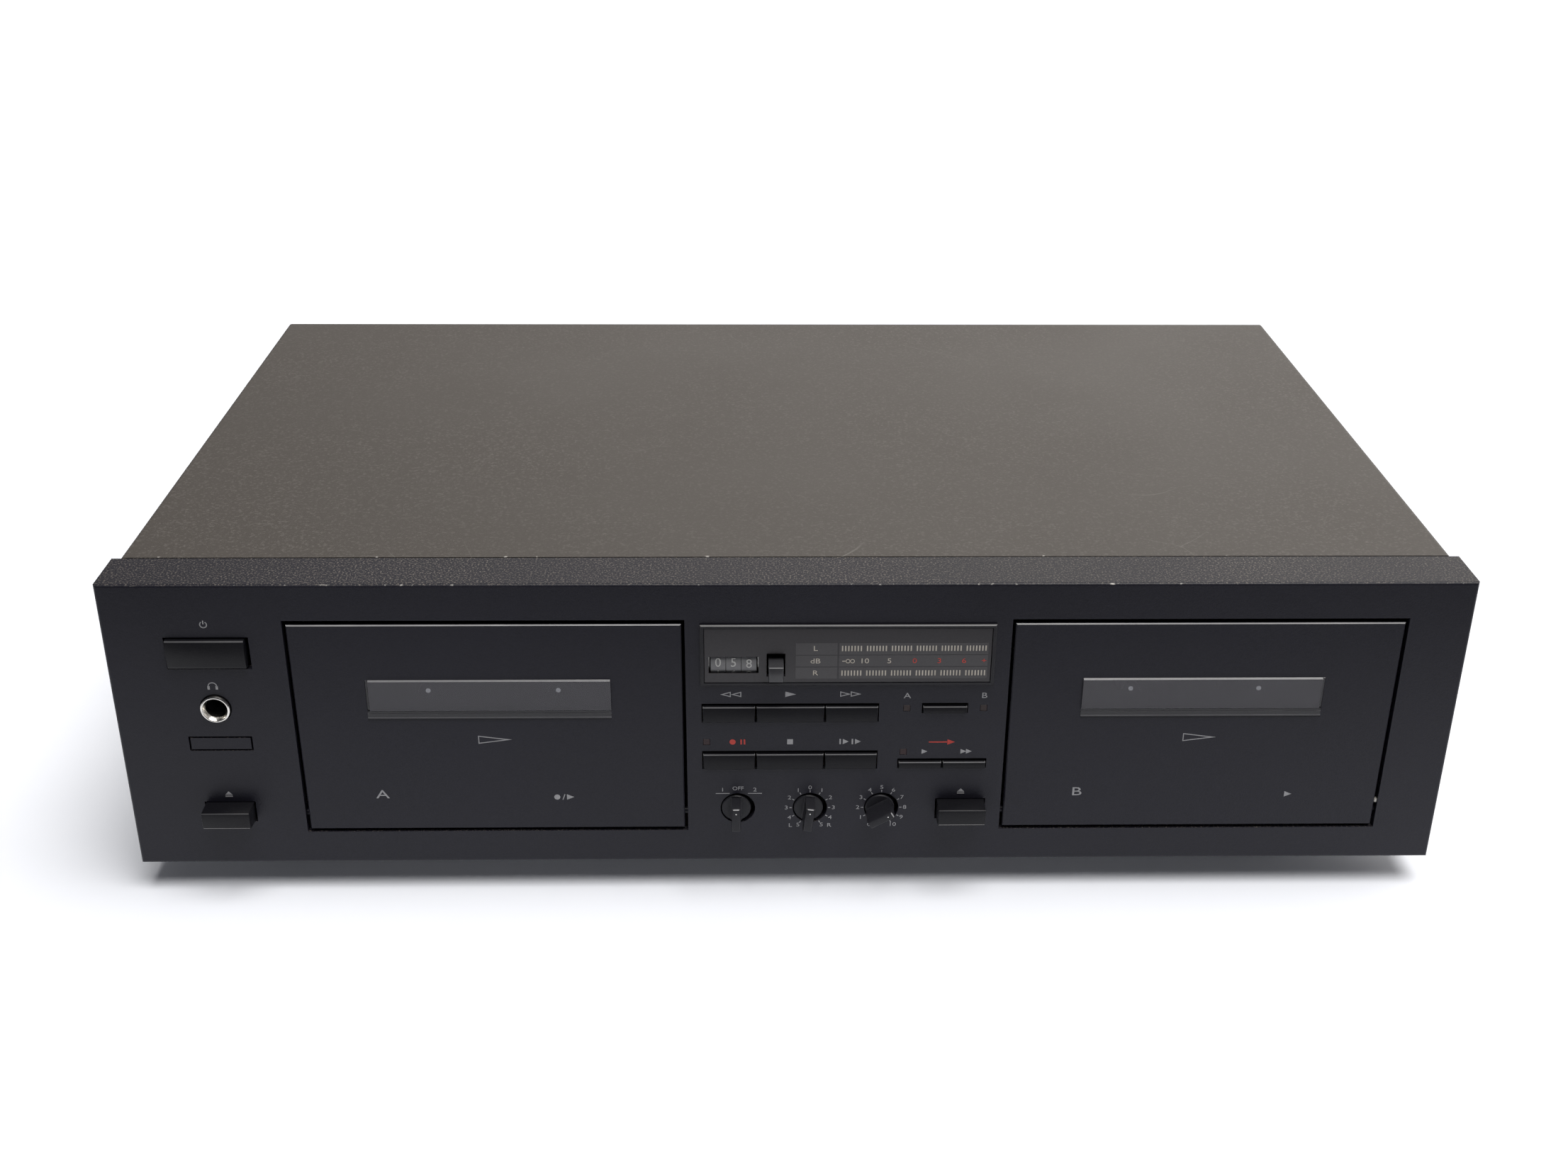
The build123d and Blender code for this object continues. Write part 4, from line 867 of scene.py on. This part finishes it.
# Level meter: a bar display behind the window. Its two rows of bars and its scale are printed on the plate in
# warm white, on strips a shade lighter than it, with the scale's figures red from the zero on.
dress(window_plastic, "level_meter")
strip_grey = grained(
    "strip_grey", (0.055, 0.053, 0.056), (0.062, 0.06, 0.063), 1400, 20, 0.2, 0.26, 0.0, shine=0.38
)
bar_ink = grained("bar_ink", (0.5, 0.46, 0.4), (0.42, 0.385, 0.33), 1800, 200, 0.45, 0.6, 0.1)
ink_gap = 0.005
strip_face = plate_front - ink_gap
bar_face = strip_face - ink - ink_gap
strips = []
for base, roof in ((79.2, 83.4), (74.95, 78.95), (70.5, 74.6)):
    for x, width in ((8.15, 13.3), (39.2, 47.6)):
        strips.append(ink_bar(x, (base + roof) / 2, width, roof - base, depth=strip_face))
hand_in_print(strips, "meter_strips", strip_grey, slot="window_plastic")
first_bar, bar_width, bar_tall = 16.4, 0.42, 1.9
bar_repeats = ((7, 1.0), (6, 7.96))
bars = []
for row in (81.45, 72.5):
    bar = ink_bar(first_bar, row, bar_width, bar_tall, depth=bar_face)
    for count, pitch in bar_repeats:
        repeat = bar.modifiers.new("repeat", "ARRAY")
        repeat.use_relative_offset = False
        repeat.use_constant_offset = True
        repeat.constant_offset_displace = (pitch * mm, 0, 0)
        repeat.count = count
        bpy.ops.object.modifier_apply(modifier=repeat.name)
    bars.append(bar)
hand_in_print(bars, "meter_bars", bar_ink, slot="window_plastic")
scale_row, scale_cap = 76.85, 1.75
scale_words = [("10", 23.5, scale_row), ("5", 31.5, scale_row)]
scale_words += [("L", 7.8, 81.4), ("dB", 7.8, scale_row), ("R", 7.8, 72.5)]
scale = [ink_words(words, x, row, scale_cap, depth=bar_face) for words, x, row in scale_words]
scale.append(ink_bar(16.9, scale_row, 1.0, 0.3, depth=bar_face))
for side in (-1, 1):
    scale += ink_ring(18.95 + side * 0.72, scale_row, 0.62, 0.26, steps=14, depth=bar_face)
hand_in_print(scale, "meter_scale", bar_ink, slot="window_plastic")
over = []
for words, x in (("0", 39.6), ("3", 47.5), ("6", 55.4), ("+", 61.8)):
    over.append(ink_words(words, x, scale_row, scale_cap, depth=bar_face))
hand_in_print(over, "meter_zero", red_ink, slot="window_plastic")


# Tape keys: two rows of three black mouldings behind the panel's openings, with a broad bevel on top that
# carries a bright painted highlight.
# Their signs are printed on the panel above them: rewind, play, wind on; record and pause, stop, search.
key_front, key_back = -1.0, 7.1
key_top_gap, key_side_gap = 0.55, 0.1
tape_plastic = grained("tape_plastic", key_black, key_grain, 2400, 40, 0.3, 0.38, 0.15, shine=0.2)
# The bright bevel on top is a painted highlight.
rubbed(tape_plastic, 0.95, (0.64, 0.64, 0.66))


def push_key(name, x, middle, width, tall, top_bevel):
    """One key with a wide bevel along its upper front edge and softened sides."""
    low = at(x - width / 2 + key_side_gap, key_front, middle - tall / 2)
    high = at(x + width / 2 - key_side_gap, key_back, middle + tall / 2 - key_top_gap)
    key = start_block(low, high)
    bevelled(key, top_bevel, y=low.y, z=high.z)
    bevelled(key, 0.3, 1, y=low.y, z=low.z)
    for side in (low.x, high.x):
        bevelled(key, 0.2, 1, x=side, ahead=panel_low.y)
    body = f"{name}_button"
    hand_in(key, f"{name}_key", tape_plastic, body, "key_plastic", body)


side_key_x = 19.95
side_key_width, middle_key_width, key_tall = 17.1, 22.1, 6.4
key_rows = {57.4: ("rewind", "play", "fast_forward"), 39.55: ("record_pause", "stop", "mute_search")}
for row, names in key_rows.items():
    for side, name in zip((-1, 0, 1), names):
        width = side_key_width if side else middle_key_width
        push_key(name, side * side_key_x, row, width, key_tall, 0.58)
upper_signs, lower_signs = 64.35, 46.5
wind_width, wind_tall, wind_line = 3.4, 2.0, 0.3
signs = [ink_arrow(0.0, upper_signs, wind_width, wind_tall)]
for x, turn in ((-21.0, 180), (-17.6, 180), (17.75, 0), (21.15, 0)):
    signs.append(ink_arrow(x, upper_signs, wind_width, wind_tall, turn, wind_line))
signs.append(ink_bar(0.0, lower_signs, 1.9, 1.9))
for bar_x, arrow_x in ((16.4, 18.2), (20.4, 22.2)):
    signs += [ink_bar(bar_x, lower_signs, 0.5, 2.0), ink_arrow(arrow_x, lower_signs, 1.9, 2.0)]
hand_in_print(signs, "tape_signs", pale_ink)
record_sign = [ink_disc(-18.8, lower_signs, 1.0)]
for x in (-16.0, -14.9):
    record_sign.append(ink_bar(x, lower_signs, 0.5, 1.9))
hand_in_print(record_sign, "record_sign", red_ink)


# Deck selector and dubbing keys: the same black mouldings, lower and narrower, right of the tape keys.
# The letters of the two decks and the dubbing arrows are printed above them.
push_key("deck_selector", 50.2, 59.0, 14.4, 3.2, 0.55)
for side, name in ((-1, "dub_normal"), (1, "dub_high")):
    push_key(name, 50.1 + side * 7.275, 38.05, 14.2, 3.1, 0.6)
letters = [ink_words("A", 37.8, 63.6, 2.0), ink_words("B", 62.8, 63.6, 2.0)]
letters += [ink_arrow(x, 42.6, 1.9, 1.8) for x in (44.2, 57.0, 58.8)]
hand_in_print(letters, "deck_signs", pale_ink)
dubbing = [ink_bar(48.6, 46.2, 6.2, 0.42), ink_arrow(52.8, 46.2, 2.4, 2.0)]
hand_in_print(dubbing, "dubbing_sign", red_ink)


# Indicator lamps: four small square windows of clear red and amber plastic, dark when unlit.
# Each is a moulded block, pressed into the panel from behind until it is flush.
lamp_red = grained(
    "lamp_red", (0.026, 0.014, 0.015), (0.031, 0.016, 0.017), 1200, 200, 0.3, 0.4, 0.05, shine=0.27
)
lamp_amber = grained(
    "lamp_amber", (0.024, 0.016, 0.016), (0.028, 0.018, 0.017), 1200, 200, 0.3, 0.4, 0.05, shine=0.27
)
lamp_half, lamp_back = 1.08, 6.0
for name, x, height, material in (
    ("deck_a", 37.8, 59.0, lamp_amber),
    ("deck_b", 62.8, 59.0, lamp_amber),
    ("dubbing", 37.2, 42.5, lamp_red),
    ("record", -27.3, 46.5, lamp_red),
):
    low = at(x - lamp_half, 0.0, height - lamp_half)
    lamp = start_block(low, at(x + lamp_half, lamp_back, height + lamp_half))
    bevelled(lamp, 0.1, 1, y=low.y)
    hand_in(lamp, f"lamp_{name}", material, "case", "lamp_plastic", "indicator_lamps")


# Rotary knobs: a low disc with a rounded finger grip across it, moulded in one in black plastic and pushed on
# to its shaft. A pale dash on the grip's end and a white dot below it show the setting on a printed scale.
knob_plastic = grained(
    "knob_plastic", (0.012, 0.012, 0.015), (0.016, 0.016, 0.02), 1800, 60, 0.34, 0.44, 0.2, shine=0.25
)
knob_white = grained("knob_white", (0.88, 0.88, 0.86), (0.8, 0.8, 0.78), 1600, 200, 0.45, 0.6, 0.1)
knob_height = 20.9
disc_profile = [(1.5, -10.2), (1.5, -3.2), (4.85, -3.2), (4.85, -0.1), (4.55, 0.2)]
dot_profile = [(0.22, 0), (0.22, 0.02)]
grip_half_width, grip_half_length = 1.5, 4.4
grip_front = -8.0
grip_foot = 0.4
dash_inset = 0.17
for knob, x, angle in (("nr", -17.7, 0.0), ("balance", 6.3, 7.0), ("rec_level", 30.1, 60.0)):
    body = f"{knob}_knob"
    axis = at(x, 0, knob_height)
    disc = turned(disc_profile, axis, "front", sides=64)
    hand_in(disc, f"{knob}_disc", knob_plastic, body, "knob_plastic", body)
    grip_low, grip_top = knob_height - grip_half_length, knob_height + grip_half_length
    grip = start_block(at(x - grip_half_width, grip_front, grip_low), at(x + grip_half_width, 0, grip_top))
    bevelled(grip, 0.6, 3, ahead=at(0, -0.1, 0).y)
    low = at(x - grip_half_width - grip_foot, -0.2 - grip_foot, grip_low)
    high = at(x + grip_half_width + grip_foot, 0.2, grip_top)
    grip_base = start_block(low, high)
    for side in (low.x, high.x):
        bevelled(grip_base, grip_foot * 0.95, 1, x=side, y=low.y)
    dash_depth, dash_height = grip_front + dash_inset, grip_top - dash_inset
    dash = ink_bar(x, dash_height, 1.9, 0.42, depth=dash_depth)
    rotated(dash, "X", 45, at(x, dash_depth, dash_height))
    dot = turned(dot_profile, at(x, grip_front, knob_height + 2.6), "front", sides=20)
    for part, name, material in (
        (grip, "grip", knob_plastic),
        (grip_base, "grip_foot", knob_plastic),
        (dash, "dash", pale_ink),
        (dot, "dot", knob_white),
    ):
        hand_in(rotated(part, "Y", -angle, axis), f"{knob}_{name}", material, body, "knob_plastic")
tick_radius, tick_width, tick_long = 6.4, 0.3, 0.8
mark_radius, mark_cap = 7.85, 1.45
mark_step = 30
marks = []
for middle, figures in ((6.8, (5, 4, 3, 2, 1, 0, 1, 2, 3, 4, 5)), (30.6, range(11))):
    for step, figure in enumerate(figures):
        angle = (step - 5) * mark_step
        tick_place = round_place(middle, knob_height, tick_radius, angle)
        marks.append(ink_bar(*tick_place, tick_width, tick_long, angle))
        marks.append(ink_words(str(figure), *round_place(middle, knob_height, mark_radius, angle), mark_cap))
marks += [ink_words("L", 0.3, 13.9, mark_cap), ink_words("R", 13.3, 13.9, mark_cap)]
marks.append(ink_words("OFF", -17.1, 28.5, mark_cap, stretch=1.05))
for figure, x in (("1", -22.2), ("2", -11.5)):
    marks += [ink_words(figure, x, 28.0, mark_cap), ink_bar(x, 26.6, 4.6, 0.25)]
hand_in_print(marks, "knob_scales", pale_ink)


# Lid: one painted steel sheet folded down at both sides, slid under the panel's rear edge and screwed to the
# base. Satin warm-grey paint with a slight orange peel, fine scuffs, some dust and pale nicks at its front.
def scuff_nodes(group, place, given):
    """Thin scratches that run every way, only where a broad pattern lets them show."""
    bent = add_node(group, "TexNoise", {"Vector": place, "Scale": 9.0, "Detail": 1.0})["Color"]
    offset = add_node(group, "VectorMath", {0: bent, "Scale": 0.12}, operation="SCALE")[0]
    shifted = add_node(group, "VectorMath", {0: place, 1: offset}, operation="ADD")[0]
    web = {"Vector": shifted, "Scale": given["Spacing"]}
    cells = add_node(group, "TexVoronoi", web, feature="DISTANCE_TO_EDGE")["Distance"]
    line = ranged(group, cells, 0.0, given["Width"], 1.0, 0.0)
    shown = ranged(group, noise(group, place, 14.0, 2.0), 0.58, 0.7)
    return [product(group, line, shown, given["Amount"])]


fine_scuffs = node_group("fine_scuffs", {"Amount": 0.5, "Spacing": 30.0, "Width": 0.01}, scuff_nodes)
cover_paint = grained("cover_paint", (0.052, 0.045, 0.039), (0.058, 0.05, 0.044), 2600, 9, 0.44, 0.52, 0.12)
overlaid(cover_paint, fine_scuffs, {"Amount": 0.35, "Spacing": 26.0, "Width": 0.006}, (0.3, 0.29, 0.27))
overlaid(cover_paint, dust_and_sheen, {"Amount": 0.25, "Specks": 1100.0, "Patches": 10.0}, (0.34, 0.32, 0.3))
nicks = {"Edge Y": cover_low.y, "Edge Z": cover_high.z, "Width": 0.8 * mm, "Rarity": 0.64, "Chips": 200.0}
overlaid(cover_paint, chipped_edge, nicks, (0.5, 0.48, 0.45))
dress(cover_paint, "top_cover")


# Studio: a pale floor that runs out of sight and is painted dark in front of the picture's lower edge as
# painted shade, one broad soft light overhead, and air that is bright behind the deck at the right. The
# camera stands above the front, a little left of the middle.
bpy.ops.mesh.primitive_plane_add(size=14.0, location=(0, 2, 0))
floor = settled(bpy.context.active_object)
floor.name = "studio_floor"
paper_glow = {"Emission Color": (0.9, 0.92, 1.0, 1), "Emission Strength": 0.04}
studio_paper = grained(
    "studio_paper", (0.88, 0.905, 0.965), (0.87, 0.895, 0.955), 60, 2, 0.85, 0.95, 0.0, more=paper_glow
)
paper_tree = studio_paper.node_tree
paper_depth = split(paper_tree, add_node(paper_tree, "TexCoord")["Object"])["Y"]
# Painted shade: the floor's colour darkens in front of the picture's lower edge, and the panel's face
# reflects it.
shade = ranged(paper_tree, paper_depth, -0.28, -0.35, interpolation_type="SMOOTHSTEP")
paper_base = paper_tree.nodes["Principled BSDF"].inputs["Base Color"]
shaded = mixed(paper_tree, shade, paper_base.links[0].from_socket, (0.06, 0.06, 0.065, 1))
paper_tree.links.new(shaded, paper_base)
floor.data.materials.append(studio_paper)

scene = bpy.context.scene
scene.view_settings.view_transform = "Standard"
sky = bpy.data.worlds.new("studio_air")
scene.world = sky
sky.use_nodes = True
sky_tree = sky.node_tree
bright_way = (0.72, 0.65, -0.24)
sky_ways = {0: add_node(sky_tree, "TexCoord")["Generated"], 1: bright_way}
sky_lean = add_node(sky_tree, "VectorMath", sky_ways, operation="DOT_PRODUCT")["Value"]
sky_share = ranged(sky_tree, sky_lean, 0.0, 0.75, interpolation_type="SMOOTHSTEP")
sky_light = mixed(sky_tree, sky_share, (0.045, 0.047, 0.054, 1), (1.25, 1.2, 1.14, 1))
sky_tree.links.new(sky_light, sky_tree.nodes["Background"].inputs["Color"])
sky_tree.nodes["Background"].inputs["Strength"].default_value = 1.0

bpy.ops.object.light_add(type="SUN", location=(0.6, 0.8, 2.0))
overhead = bpy.context.active_object
overhead.name = "overhead_light"
overhead.data.energy = 3.4
overhead.data.angle = math.radians(45)
overhead.data.color = (1.0, 0.98, 0.95)
overhead.rotation_euler = (math.radians(12), math.radians(12), 0)

camera_data = bpy.data.cameras.new("photo_camera")
camera = bpy.data.objects.new("photo_camera", camera_data)
scene.collection.objects.link(camera)
scene.camera = camera
camera_data.sensor_fit = "HORIZONTAL"
camera_data.sensor_width = 36.0
camera_data.lens = 41.51
yaw, pitch, roll = math.radians(-1.300), math.radians(26.312), math.radians(0.459)
lean = Matrix.Rotation(yaw, 3, "Z") @ Matrix.Rotation(math.pi / 2 - pitch, 3, "X")
camera.rotation_euler = (lean @ Matrix.Rotation(roll, 3, "Z")).to_euler()
camera.location = Vector((-13.92, -638.04, 364.78)) * mm
